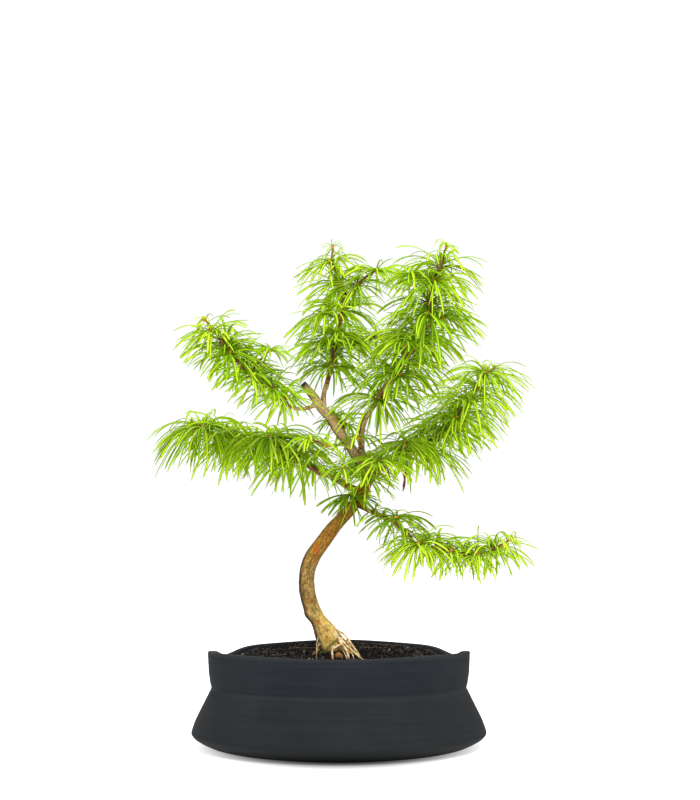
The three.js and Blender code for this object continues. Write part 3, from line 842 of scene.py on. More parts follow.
@dataclass(frozen=True)
class Stoneware(Finish):
    """Matte charcoal clay with throwing lines; painted light lightens lip, shoulder and foot."""

    name: str = "charcoal_stoneware"
    collar: Colour = (0.0115, 0.0135, 0.0168, 1)
    body: Colour = (0.0128, 0.0142, 0.0155, 1)
    # Painted lift of light: the foot is lighter than the body, to make up for the light it lacks.
    foot: Colour = (0.022, 0.0235, 0.0245, 1)
    # The dry tone mottles the wiped clay, and also paints highlights on the lip and the shoulder.
    dry_tone_and_highlight: Colour = (0.031, 0.033, 0.037, 1)
    waist: float = 43.4
    base: float = 9.5
    lip: float = 66.5

    def shade(self, graph: Graph) -> Wire:
        """Changes the tone at the waist and where wiped; paints light on the foot, lip and
        shoulder.

        Args:
            graph: the material's empty tree.

        Returns:
            The surface shader.
        """
        place = graph.place()
        cloudy = graph.noise(place, 22, 4, 0.6)
        wiped = graph.noise(graph.stretched(place, (14, 14, 420)), 1, 3, 0.55)
        grit = graph.noise(place, 2600, 2, 0.6)
        above = graph.above(self.waist - 0.6, self.waist + 0.6)
        shoulder = graph.above(self.waist - 4.5, self.waist - 1.2)
        ragged = (graph.noise(place, 90, 4) - 0.5) * (1.5 * MM)
        clay = graph.layered(
            self.body,
            (above, self.collar),
            (graph.step(0.35 * wiped + 0.45 * cloudy + 0.2 * grit, 0.35, 0.75) * 0.42, self.dry_tone_and_highlight),
            # Painted lift of light on the foot.
            (graph.above(self.base + 1.6, self.base - 2.2), self.foot),
            # Painted highlight along the lip.
            (graph.above(self.lip, self.lip + 2.6, ragged) * 0.4, self.dry_tone_and_highlight),
            # Painted highlight on the shoulder just below the waist.
            ((shoulder - above) * 0.22, self.dry_tone_and_highlight),
        )
        pits = graph.step(graph.cells(place, 520), 0.05, 0.22)
        bump = graph.relief(0.5 * wiped + 0.25 * grit + 0.25 * pits, 0.22, 0.7)
        return graph.surface(clay, 0.8 + 0.2 * cloudy, 0.08, bump)


@dataclass(frozen=True)
class Bark(Finish):
    """Golden tan bark with long fissures, orange patches, a little moss and painted shade.

    Foot, bend, fork and leader are heights over which its tone changes. A spot is its centre, its
    reach and how much of it shows.
    """

    name: str = "larch_bark"
    pale: Colour = (0.72, 0.49, 0.14, 1)
    cream: Colour = (0.84, 0.66, 0.37, 1)
    tan: Colour = (0.27, 0.165, 0.045, 1)
    honey: Colour = (0.54, 0.36, 0.11, 1)
    amber: Colour = (0.44, 0.21, 0.026, 1)
    brown: Colour = (0.27, 0.112, 0.009, 1)
    ashen: Colour = (0.46, 0.31, 0.155, 1)
    # Painted shade colour for the bark's edges that face away from the light.
    painted_shade_brown: Colour = (0.045, 0.02, 0.006, 1)
    furrow: Colour = (0.10, 0.058, 0.014, 1)
    olive: Colour = (0.20, 0.17, 0.04, 1)
    rust: Colour = (0.36, 0.075, 0.003, 1)
    callus: Colour = (0.38, 0.125, 0.014, 1)
    # Painted shade colour for the dark hollows at the trunk's foot.
    earth: Colour = (0.018, 0.013, 0.008, 1)
    moss: Colour = (0.11, 0.135, 0.018, 1)
    knob: Colour = (0.32, 0.14, 0.035, 1)
    cut: Colour = (0.022, 0.022, 0.018, 1)
    foot: Pair = (86, 112)
    bend: Pair = (126, 150)
    fork: Pair = (206, 190)
    leader: Pair = (192, 206)
    tan_streak: Triple = (-8.5, -9, 77)
    pale_streak: Triple = (-1.5, -5.5, 82)
    burl: Triple = (-0.1, -14, 65)
    leader_end: Triple = (-29, -10, 271)
    spots: Spots = (
        ((-17, -13.5, 148), 2.2, 1), ((-17.2, -13.5, 144), 2.1, 1), ((-16.8, -13, 140), 1.9, 0.9),
        ((-16, -8, 91), 1.6, 0.9), ((-26, -8, 101), 3, 0.5), ((-22, -9, 106), 3, 0.4),
    )  # fmt: skip

    def shade(self, graph: Graph) -> Wire:
        """Tones the bark up the tree, with fissures, spots, moss, painted shade and the cut end.

        Args:
            graph: the material's empty tree.

        Returns:
            The surface shader.
        """
        place = graph.place()
        grain = graph.kept("grain", "Vector")
        streaks = graph.noise(graph.stretched(grain, (1, 1, 0.35)), 420, 5, 0.72)
        flecks = graph.noise(graph.stretched(grain, (1, 1, 0.7)), 720, 4, 0.75)
        scales = graph.cells(graph.stretched(grain, (1, 1, 0.5)), 620)
        patches = graph.noise(place, 95, 3, 0.55)
        ragged = (patches - 0.5) * (40 * MM)
        risen = graph.above(*self.foot, ragged)
        middle = graph.above(*self.bend, ragged) * graph.above(*self.fork)
        spots = [graph.near(centre, reach, 2) * share for centre, reach, share in self.spots]
        damp = graph.kept("damp") + (graph.noise(place, 330, 4, 0.65) - 0.5) * 1.1
        light = graph.layered(
            self.pale,
            (risen, self.honey),
            (middle, self.amber),
            *((spot, self.callus) for spot in spots),
        )
        knob = graph.layered(self.knob, (graph.step(flecks, 0.43, 0.54) * 0.8, self.furrow))
        wood = graph.layered(
            self.pale,
            (risen, self.tan),
            (middle, self.brown),
            (graph.above(*self.leader), self.ashen),
            (graph.step(patches, 0.52, 0.66) * 0.6, self.olive),
            (graph.step(graph.noise(place, 70, 2), 0.58, 0.72) * 0.4, self.rust),
            *((spot, self.rust) for spot in spots),
            (graph.step(streaks, 0.5, 0.62) * 0.75, self.furrow),
            (graph.step(streaks, 0.46, 0.34) * 0.75, light),
            (graph.step(flecks, 0.53, 0.6) * 0.7, self.furrow),
            (graph.step(flecks, 0.46, 0.39) * 0.7, light),
            (graph.kept("rootlet") * 0.75, self.cream),
            (graph.near(self.tan_streak, 2.2, 4) * 0.55, self.amber),
            (graph.near(self.pale_streak, 3, 5) * 0.85, self.cream),
            # Painted shade on the left edge of the wood, and a little on the right.
            (graph.kept("shade") * 0.88, self.painted_shade_brown),
            (graph.step(damp, 0.37, 0.57) * 0.8, self.moss),
            # Painted shade in the dark hollows where the trunk meets the soil.
            (graph.kept("foot_hollow_shade"), self.earth),
            (graph.near(self.burl, 4.6, 1.2), knob),
            (graph.near(self.leader_end, 5.5, 4), self.cut),
        )
        bump = graph.relief(0.4 * streaks + 0.25 * scales + 0.35 * flecks, 0.6, 0.9)
        return graph.surface(wood, 0.62 + 0.25 * streaks, 0.15, bump)


@dataclass(frozen=True)
class Rootlet(Finish):
    """Cream surface roots, tan in places and earthy where they go into the soil."""

    name: str = "pale_root"
    cream: Colour = (0.80, 0.62, 0.36, 1)
    tan: Colour = (0.46, 0.27, 0.09, 1)
    earth: Colour = (0.09, 0.055, 0.025, 1)
    soil: Pair = (66.5, 63)

    def shade(self, graph: Graph) -> Wire:
        """Blotches the cream and darkens it near the soil.

        Args:
            graph: the material's empty tree.

        Returns:
            The surface shader.
        """
        blotch = graph.noise(graph.place(), 300, 4, 0.6)
        root = graph.layered(
            self.cream,
            (graph.step(blotch, 0.46, 0.62), self.tan),
            (graph.above(*self.soil, (blotch - 0.5) * (6 * MM)), self.earth),
        )
        return graph.surface(root, 0.6 + 0.2 * blotch, 0.2, graph.relief(blotch, 0.3, 0.6))


@dataclass(frozen=True)
class YoungBark(Finish):
    """Thin reddish-brown bark of shoots and spurs, orange on the buds."""

    name: str = "young_bark"
    brown: Colour = (0.16, 0.055, 0.014, 1)
    dark: Colour = (0.035, 0.012, 0.005, 1)
    tan: Colour = (0.36, 0.17, 0.05, 1)
    orange: Colour = (0.62, 0.21, 0.02, 1)

    def shade(self, graph: Graph) -> Wire:
        """Blotches the bark and lays orange scales on the buds.

        Args:
            graph: the material's empty tree.

        Returns:
            The surface shader.
        """
        place = graph.place()
        blotch = graph.noise(place, 240, 4, 0.6)
        fine = graph.noise(place, 1500, 3, 0.6)
        scales = graph.cells(place, 950)
        scaly = 0.35 + 0.65 * graph.step(scales, 0.2, 0.6)
        bark = graph.layered(
            self.brown,
            (graph.step(blotch, 0.42, 0.62), self.tan),
            (graph.step(fine, 0.5, 0.68) * 0.7, self.dark),
            (graph.kept("bud") * scaly, self.orange),
        )
        bump = graph.relief(0.5 * fine + 0.5 * scales, 0.3, 0.8)
        return graph.surface(bark, 0.5 + 0.3 * fine, 0.35, bump)


@dataclass(frozen=True)
class Needle(Finish):
    """Soft larch needles: lime where young, pale midrib, painted shade at roots and edges."""

    name: str = "larch_needle"
    lime: Colour = (0.70, 0.88, 0.03, 1)
    fresh: Colour = (0.35, 0.69, 0.007, 1)
    # Deep green: some needles' own tone, and also painted shade on roots, edges and shaded needles.
    deep: Colour = (0.03, 0.078, 0.002, 1)
    tip: Colour = (0.84, 0.90, 0.12, 1)
    rib: Colour = (0.80, 0.92, 0.14, 1)
    glow: Colour = (0.76, 0.95, 0.02, 1)
    glow_share: float = 0.46

    def shade(self, graph: Graph) -> Wire:
        """Colours by tint, tip and midrib; paints shade at root and edges; lets light through.

        Args:
            graph: the material's empty tree.

        Returns:
            The surface shader.
        """
        along, across, tint = (graph.kept(name) for name in ("along", "across", "tint"))
        streak = graph.noise(graph.place(), 900, 2, 0.5)
        leaf = graph.layered(
            self.fresh,
            (graph.step(tint, 0.28, 0.72), self.lime),
            # Deep green from a low tint: partly the needles' own tone, partly painted shade on
            # darkened needles.
            (graph.step(tint, 0.36, 0.04) * 0.85, self.deep),
            (graph.step(tint, 0.7, 1.0) * 0.4, self.tip),
            # Painted shade towards each needle's root, in the crowded whorl.
            (graph.step(along, 0.3, 0.0) * 0.6, self.deep),
            (graph.step(along, 0.8, 1.0) * 0.3, self.tip),
            (graph.step(across, 0.2, 0.02) * 0.35, self.rib),
            # Painted shade along each needle's edges.
            (graph.step(across, 0.4, 0.8) * 0.95, self.deep),
            (graph.step(streak, 0.5, 0.7) * 0.2, self.lime),
        )
        skin = graph.surface(leaf, 0.55 + 0.15 * streak, 0.1)
        through = graph.node("ShaderNodeBsdfTranslucent", {}, {"Color": self.glow})
        return graph.node("ShaderNodeMixShader", {}, {0: self.glow_share, 1: skin, 2: through})


@dataclass(frozen=True)
class DryNeedle(Finish):
    """Dead needles, dark red on the twig and straw brown on the soil."""

    name: str = "dry_needle"
    red: Colour = (0.17, 0.022, 0.012, 1)
    straw: Colour = (0.26, 0.14, 0.06, 1)

    def shade(self, graph: Graph) -> Wire:
        """Bleaches the red with age.

        Args:
            graph: the material's empty tree.

        Returns:
            The surface shader.
        """
        mottle = graph.noise(graph.place(), 700, 3, 0.6)
        share = graph.kept("age") * 0.8 + 0.2 * graph.step(mottle, 0.45, 0.65)
        return graph.surface(graph.layered(self.red, (share, self.straw)), 0.6 + 0.2 * mottle)


@dataclass(frozen=True)
class Grit(Finish):
    """Dark crumbly soil: most grains near black, a few brown, a few pale."""

    name: str = "soil_grit"
    black: Colour = (0.005, 0.0045, 0.004, 1)
    earth: Colour = (0.019, 0.014, 0.0095, 1)
    brown: Colour = (0.042, 0.032, 0.021, 1)
    pale: Colour = (0.23, 0.20, 0.15, 1)

    def shade(self, graph: Graph) -> Wire:
        """Colours each grain by its tint, with dark crumbs.

        Args:
            graph: the material's empty tree.

        Returns:
            The surface shader.
        """
        tint = graph.kept("tint")
        rough = graph.noise(graph.place(), 1100, 4, 0.65)
        soil = graph.layered(
            self.black,
            (graph.step(rough, 0.4, 0.66), self.earth),
            (graph.step(tint, 0.82, 0.88), self.brown),
            (graph.step(tint, 0.975, 0.985), self.pale),
            (graph.step(rough, 0.6, 0.72) * 0.5, self.black),
        )
        return graph.surface(soil, 0.82 + 0.15 * rough, 0.14, graph.relief(rough, 0.5, 0.9))


@dataclass(frozen=True)
class Moss(Finish):
    """Short damp moss."""

    name: str = "moss"
    light: Colour = (0.125, 0.175, 0.022, 1)
    dark: Colour = (0.026, 0.042, 0.008, 1)

    def shade(self, graph: Graph) -> Wire:
        """Lightens the leaves towards their tips.

        Args:
            graph: the material's empty tree.

        Returns:
            The surface shader.
        """
        mottle = graph.noise(graph.place(), 420, 3, 0.6)
        share = graph.step(graph.kept("along") * 0.6 + mottle * 0.6, 0.35, 0.85)
        return graph.surface(graph.layered(self.dark, (share, self.light)), 0.75 + 0.2 * mottle)


@dataclass(frozen=True)
class MeshPlastic(Finish):
    """Black moulded netting, scuffed and dusty."""

    name: str = "black_netting"
    black: Colour = (0.013, 0.013, 0.013, 1)
    dust: Colour = (0.10, 0.085, 0.065, 1)

    def shade(self, graph: Graph) -> Wire:
        """Dusts the plastic and scuffs it along the bars.

        Args:
            graph: the material's empty tree.

        Returns:
            The surface shader.
        """
        place = graph.place()
        scuffs = graph.noise(graph.stretched(place, (1, 0.2, 1)), 2200, 2, 0.5)
        dusty = graph.step(graph.noise(place, 160, 4, 0.6), 0.48, 0.7) * 0.5
        plastic = graph.layered(self.black, (dusty, self.dust))
        bump = graph.relief(scuffs, 0.05, 0.5)
        return graph.surface(plastic, 0.45 + 0.3 * scuffs, bump=bump)


@dataclass(frozen=True)
class Backdrop(Finish):
    """White studio floor that glows enough to vanish, with a painted contact shadow by the pot."""

    name: str = "studio_floor"
    white: Colour = (0.55, 0.55, 0.552, 1)
    painted_shadow: Colour = (0.08, 0.08, 0.081, 1)
    lift: float = 0.95
    # Painted contact shadow: the glow fades out within the first band, the colour darkens within
    # the next.
    dim: Pair = (68, 140)
    painted_shadow_round: Pair = (70, 122)
    forward: float = 18
    narrowing: float = 1.18

    def shade(self, graph: Graph) -> Wire:
        """Lifts the floor to white away from the pot and paints a soft contact shadow close by.

        Args:
            graph: the material's empty tree.

        Returns:
            The surface shader.
        """
        flat = graph.stretched(graph.place(), (self.narrowing, 1, 0), (0, self.forward * MM, 0))
        from_axis = graph.node("ShaderNodeVectorMath", {"operation": "LENGTH"}, {0: flat}, "Value")
        bands = (self.dim, self.painted_shadow_round)
        # Painted contact shadow: no glow and a darker colour near the pot, stretched towards the
        # front.
        lit, clear = (graph.step(from_axis, low * MM, high * MM) for low, high in bands)
        dark, white = (
            graph.node("ShaderNodeBsdfDiffuse", {}, {"Color": colour})
            for colour in (self.painted_shadow, self.white)
        )
        matte = graph.node("ShaderNodeMixShader", {}, {0: clear, 1: dark, 2: white})
        glow = graph.node("ShaderNodeEmission", {}, {"Color": (1, 1, 1, 1), "Strength": self.lift})
        lifted = graph.node("ShaderNodeAddShader", {}, {0: matte, 1: glow})
        return graph.node("ShaderNodeMixShader", {}, {0: lit, 1: matte, 2: lifted})


# Pieces.


@dataclass(frozen=True)
class Pot:
    """The wheel-thrown pot: flared body, waist, and a collar with a hand-pulled wavy rim.

    The rim dips behind both sides: by how much, how many degrees from the back, and how wide. It
    rises at the back: by how much, and how wide.
    """

    outside: tuple[Pair, ...] = (
        (0, 0), (92, 0), (97, 1.2), (102.7, 3.8), (107.6, 6.6), (109.9, 9.4), (109.1, 12.6),
        (106.8, 19), (95, 42.8), (96, 45), (97.4, 54), (98, 66), (98.1, 68.2), (97.5, 69),
    )  # fmt: skip
    inside: tuple[Pair, ...] = (
        (93.6, 69), (92.9, 68.3), (91.6, 57), (89.4, 45.5), (101.5, 14), (96, 7), (0, 7),
    )  # fmt: skip
    steps: int = 168
    ring_step: float = 1.5
    waist: float = 46
    lip: float = 69
    wall_radius: Pair = (80, 92)
    wall_height: Pair = (9, 15)
    ring_depth: float = 0.035
    ring_pitch: float = 3.3
    ring_wander: Pair = (2.2, 4.1)
    unevenness: float = 0.125
    sway_length: float = 16
    dip: Triple = (5.5, 67, 13)
    rise: Pair = (2.5, 30)
    drains: int = 3
    drain_radius: float = 8
    drain_circle: float = 50
    drill_length: float = 30
    drill_sides: int = 40

    @classmethod
    def rim_wave(cls, angle: Array) -> Array:
        """How far the rim stands above or below its mean height.

        Args:
            angle: where round the pot, in radians.

        Returns:
            The heights in millimetres.
        """
        (depth, middle, width), (height, spread) = cls.dip, cls.rise
        from_back = np.abs(np.degrees(angle) - 90)
        back = height * bell(from_back, spread) - depth * bell(from_back - middle, width)
        return np.where(np.sin(angle) < 0, np.sin(2 * angle) ** 2, back)

    def build(self) -> Object:
        """Turns the wall, waves the rim, adds the maker's unevenness and drills the floor.

        Returns:
            The pot.
        """
        outer = np.vstack([eased(self.outside[:-2], self.ring_step), self.outside[-2:]])
        inner = np.vstack([self.inside[:2], eased(self.inside[2:], 2 * self.ring_step)])
        pot = turned("pot_stoneware", [*outer, *inner], self.steps)
        x, y, z = positions(pot.data).T / MM
        radius, angle = np.hypot(x, y), np.arctan2(y, x)
        wall = ramp(radius, *self.wall_radius) * ramp(z, *self.wall_height)
        wander = self.ring_wander[0] * np.sin(z / self.ring_wander[1])
        rings = np.sin(2 * math.pi * z / self.ring_pitch + wander + angle)
        sway = np.sin(2 * angle + 0.7) + 0.5 * np.sin(5 * angle + z / self.sway_length)
        share = ramp(z, self.waist, self.lip)
        grown = radius + wall * (self.ring_depth * rings + self.unevenness * share * sway)
        z = z + share * self.rim_wave(angle)
        scale = np.divide(grown, radius, out=np.ones_like(radius), where=radius > 1)
        set_positions(pot.data, np.column_stack([x * scale, y * scale, z]) * MM)
        self.drill(pot)
        settle(pot, Stoneware(), 50)
        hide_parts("pot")
        return pot

    def drill(self, pot: Object) -> None:
        """Cuts the drain holes through the floor.

        Args:
            pot: the turned pot.
        """
        for i in range(self.drains):
            angle = math.radians(90 + 360 / self.drains * i)
            place = self.drain_circle * MM * Vector((math.cos(angle), math.sin(angle), 0))
            pick()
            bpy.ops.mesh.primitive_cylinder_add(
                vertices=self.drill_sides,
                radius=self.drain_radius * MM,
                depth=self.drill_length * MM,
                location=place,
            )
            drill = bpy.context.object
            apply_modifier(pot, "BOOLEAN", operation="DIFFERENCE", object=drill, solver="EXACT")
            bpy.data.objects.remove(drill)


@dataclass(frozen=True)
class SoilBed:
    """The soil in the pot: a mounded bed, banked up to the rim, and the grains that lie on it."""

    edge: float = 61.5
    mound: float = 4
    spread: float = 45
    centre: Pair = (-4, 15)
    below_lip: float = 1.8
    bank_angles: Pair = (50, 75)
    bank_radius: float = 91
    bank_power: float = 1.5
    bank_widening: float = 0.0013
    lump: float = 0.5
    wave: float = 7
    roughness: float = 0.75
    crumbs: Pair = (5, 1.9)
    fine_share: float = 0.6
    under_grains: float = 0.5
    gap: float = 0.6
    bottom: Pair = (95, 7.5)
    steps: int = 132
    rings: int = 58
    grains: int = 3600
    grain_side: float = 1.5
    grain_bevel: float = 0.4
    grain_unevenness: float = 0.26
    grain_squash: Pair = (0.72, 1.22)
    grain_power: float = 2.4
    grain_seat: Pair = (-0.15, 0.4)
    smallest: float = 0.5
    strewn_radius: float = 89.5

    def bank(self, x: Array, y: Array) -> Array:
        """How far the soil is banked up towards the rim.

        Args:
            x: places across the pot, in millimetres.
            y: the same places' depth.

        Returns:
            The rise at each place, in millimetres.
        """
        angle = np.arctan2(y, x)
        away = ramp(np.abs(np.degrees(angle) - 90), *self.bank_angles)
        follow = 1 - away**2 * (3 - 2 * away)
        full = Pot.lip - self.below_lip - self.edge + Pot.rim_wave(angle)
        return follow * full * (np.hypot(x, y) / self.bank_radius) ** self.bank_power

    def height(self, x: Array, y: Array) -> Array:
        """How high the surface is.

        Args:
            x: places across the pot, in millimetres.
            y: the same places' depth.

        Returns:
            The height of each place, in millimetres.
        """
        distance = np.hypot(x - self.centre[0], y - self.centre[1])
        waves = self.lump * np.sin(x / self.wave) * np.cos(y / self.wave + 1)
        return self.edge + self.mound * bell(distance, self.spread) + waves + self.bank(x, y)

    def build(self) -> Object:
        """Turns the bed to fill the pot and roughens its top.

        Returns:
            The bed.
        """
        sides = [(radius - self.gap, height) for radius, height in Pot.inside[4:1:-1]]
        rim = sides[-1][0]
        top = [(rim * (1 - i / self.rings), self.edge) for i in range(self.rings + 1)]
        profile = [(0, self.bottom[1]), self.bottom, *sides, *top]
        bed = turned("soil_bed", profile, self.steps)
        points = positions(bed.data) / MM
        surface = points[:, 2] > self.edge - 0.01
        x, y = points[surface, :2].T
        flat = np.column_stack([x, y, 0 * x])
        coarse, fine = self.crumbs
        rough = lumps(flat, coarse, (0, 0, 3.1)) + self.fine_share * lumps(flat, fine, (0, 0, 7.7))
        points[surface, 2] = self.height(x, y) + self.roughness * rough - self.under_grains
        points[surface, :2] *= 1 + self.bank_widening * np.maximum(0, self.bank(x, y))[:, None]
        set_positions(bed.data, points * MM)
        store(bed.data, "tint", np.zeros(len(points)))
        settle(bed, Grit(), 180)
        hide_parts("soil")
        return bed

    def grain(self) -> Pattern:
        """Models one angular crumb.

        Returns:
            A bevelled block.
        """
        pick()
        bpy.ops.mesh.primitive_cube_add(size=self.grain_side)
        crumb = bpy.context.object
        edit(crumb, "EDGE")
        bpy.ops.mesh.bevel(offset=self.grain_bevel, segments=1, affect="EDGES")
        bpy.ops.mesh.select_all(action="SELECT")
        bpy.ops.mesh.quads_convert_to_tris()
        bpy.ops.object.mode_set(mode="OBJECT")
        return Pattern.take(crumb)

    def strew(self, draw: np.random.Generator) -> Object:
        """Scatters grains over the bed, each squashed and turned in its own way.

        Args:
            draw: the seeded random draws.

        Returns:
            The grains as one object.
        """
        pattern = self.grain()
        radius = self.strewn_radius * np.sqrt(draw.random(self.grains))
        angle = 2 * math.pi * draw.random(self.grains)
        x, y = radius * np.cos(angle), radius * np.sin(angle)
        size = self.smallest + draw.random(self.grains) ** self.grain_power
        pushed = draw.random((self.grains, len(pattern.points), 3)) - 0.5
        pushed = 1 + self.grain_unevenness * pushed
        flattest, fullest = self.grain_squash
        squash = flattest + (fullest - flattest) * draw.random((self.grains, 1, 3))
        shape = pattern.points[None] * pushed * squash * size[:, None, None]
        turns = np.linalg.qr(draw.standard_normal((self.grains, 3, 3)))[0]
        turns[:, :, 0] *= np.sign(np.linalg.det(turns))[:, None]
        shape = np.einsum("nij,nvj->nvi", turns, shape)
        lifted = self.grain_seat[0] + self.grain_seat[1] * size
        seat = np.column_stack([x, y, self.height(x, y) + lifted])
        grit = pattern.copies("soil_grains", (shape + seat[:, None]) * MM)
        store(grit.data, "tint", np.repeat(draw.random(self.grains), len(pattern.points)))
        settle(grit, Grit(), 30)
        return grit


@dataclass(frozen=True)
class Wood:
    """Trunk, surface roots, cut leader and limbs under one skin of furrowed bark.

    A knot is its centre, its reach and how far it stands out. A mossy spot is its centre, its
    reach and how damp it is. Painted shade darkens the bark's left side, and a little its right.
    """

    step: float = 3
    voxel: float = 0.5
    line_step: float = 1.5
    furrow: float = 0.36
    ridge: tuple[float, Triple] = (0.9, (1.5, 1.5, 7.5))
    flake: tuple[float, Triple] = (0.45, (0.9, 0.9, 3.2))
    swelling: tuple[float, Triple] = (0.75, (6, 6, 13))
    full_girth: float = 5
    root_shares: tuple[float, ...] = (0.45, 0.4, 0.4, 0.4, 0.35, 0.35, 0.62, 0.5)
    burl: Triple = (-0.1, -12, 64.9)
    burl_radius: float = 3.4
    knots: Spots = (
        ((8, -7, 178), 4.5, 1.1), ((-26, -13, 128), 4, 0.5), ((-3, -8, 84), 5, 0.7),
        ((-15, -13, 143), 4, 0.45), ((16, -3, 199), 4, 0.7), ((-31, -9, 112), 2.5, 0.6),
        ((-24.5, -6, 96), 3.5, 1), ((-22, -4, 86.5), 5, -2.6), ((-30.5, -6, 103), 2, 0.7),
        ((-30, -8, 152), 3, 0.5),
    )  # fmt: skip
    mossy: Spots = (
        ((16, 0, 197), 9, 0.42), ((-9, -8, 100), 4, 0.42), ((21, -6, 214), 6, 0.6),
        ((-10, -9, 86), 5, 0.38), ((-13, -6, 96), 4, 0.4), ((-12, 8, 72), 8, 0.5),
        ((3, 9, 72), 7, 0.5), ((-10, -6, 252), 7, 0.4), ((-20, -8, 262), 6, 0.35),
        ((10, 1, 186), 6, 0.3),
    )  # fmt: skip
    # Painted shade: the bark is darkened where it faces left, and a little where it faces right.
    dark_side: Triple = (-1, 0.1, -0.15)
    dark: Pair = (0.38, 0.72)
    dark_power: float = 1.4
    dim_side: Triple = (1, 0.1, -0.15)
    dim: Pair = (0.85, 1)
    dim_share: float = 0.4
    thin: Pair = (2.2, 1.6)
    low: Pair = (84, 80)
    stout: Pair = (4, 6)
    # Heights of the painted shade in the hollows at the trunk's foot.
    foot_hollow_shade: Pair = (71.5, 68.5)
    band_foot: Pair = (-10, 70.3)
    band_slope: float = 0.84
    band_width: float = 2.1
    band_share: float = 0.95

    def lines(self) -> list[Arrays]:
        """The even points and radii of every stem in the wood."""
        return [route.line(self.line_step) for route in (TRUNK, *LIMBS, *ROOTS)]

    def build(self) -> Object:
        """Makes a tube for each stem, fuses them and carves the bark.

        Returns:
            The wood.
        """
        parts = [tube(route, self.step, 20) for route in (TRUNK, *LIMBS)]
        for root, spread in zip(ROOTS, self.root_shares):
            radii = tuple(radius * spread for radius in root.radii)
            parts.append(tube(Route(root.points, radii), self.step, 14))
        parts.append(ball(self.burl, self.burl_radius, 3, (1, 0.9, 1.1)))
        wood = fuse(parts, "wood", self.voxel, 4)
        self.carve(wood.data)
        settle(wood, Bark(), 180)
        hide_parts("trunk")
        return wood

    def carve(self, mesh: Mesh) -> None:
        """Presses fissures along the stems, raises knots and stores what the bark's looks need.

        Args:
            mesh: the smooth wood.
        """
        points, outward = positions(mesh) / MM, normals(mesh)
        height = points[:, 2]
        grain, girth = self.grain_of(points)
        push = self.ridge[0] * (0.2 - np.abs(lumps(grain, self.ridge[1])))
        push += self.flake[0] * lumps(grain, self.flake[1], (9, 0, 0))
        push += self.swelling[0] * lumps(grain, self.swelling[1], (0, 0, 4))
        push *= self.furrow * np.clip(girth / self.full_girth, 0.25, 1)
        for centre, reach, rise in self.knots:
            push += rise * bell(np.linalg.norm(points - centre, axis=1), reach)
        push_out(mesh, push)
        # Painted shade, by which way the bark faces.
        dark = ramp(outward @ self.dark_side, *self.dark) ** self.dark_power
        dim = ramp(outward @ self.dim_side, *self.dim)
        store(mesh, "grain", grain * MM)
        store(mesh, "damp", self.dampness(points, outward))
        store(mesh, "shade", dark + self.dim_share * dim)
        store(mesh, "rootlet", ramp(girth, *self.thin) * ramp(height, *self.low))
        # Painted shade in the hollows at the trunk's foot, on stout wood only.
        store(mesh, "foot_hollow_shade", ramp(height, *self.foot_hollow_shade) * ramp(girth, *self.stout))

    def grain_of(self, points: Array) -> Arrays:
        """Unrolls the stems, so that the third axis runs along the wood.

        Args:
            points: vertices in millimetres.

        Returns:
            A place in the unrolled wood for each vertex, and the radius of its stem.
        """
        best = np.full(len(points), 1e9)
        grain, girth = np.zeros_like(points), np.ones(len(points))
        for index, (line, radii) in enumerate(self.lines()):
            score = np.linalg.norm(points[:, None] - line[None], axis=2) / radii[None]
            nearest = score.argmin(axis=1)
            value = score[np.arange(len(points)), nearest]
            taken = value < best
            best[taken] = value[taken]
            along = unit(np.gradient(line, axis=0))
            side = unit(np.cross(along, (0.13, 0.98, 0.11)))
            offset = points - line[nearest]
            far, right, up = (
                np.einsum("ij,ij->i", offset, way[nearest])
                for way in (along, side, np.cross(along, side))
            )
            around, size = np.arctan2(up, right), radii[nearest]
            run = self.line_step * nearest + far + 40 * index
            unrolled = np.column_stack([size * np.cos(around), size * np.sin(around), run])
            grain[taken], girth[taken] = unrolled[taken], size[taken]
        return grain, girth

    def dampness(self, points: Array, outward: Array) -> Array:
        """Where moss grows: a slanting band above the soil, and spots on the forks.

        Args:
            points: vertices in millimetres.
            outward: the way the bark faces at each.

        Returns:
            How damp each vertex is.
        """
        x, y, z = points.T
        from_band = z - self.band_foot[1] - self.band_slope * (x - self.band_foot[0])
        band = bell(from_band, self.band_width) * ramp(x, -11, -9) * ramp(x, 5, 3)
        damp = self.band_share * band * (y < -2)
        for centre, reach, share in self.mossy:
            spot = share * bell(np.linalg.norm(points - centre, axis=1), reach)
            damp = np.maximum(damp, spot)
        return damp * (0.75 + 0.25 * np.clip(outward[:, 2], -1, 1))


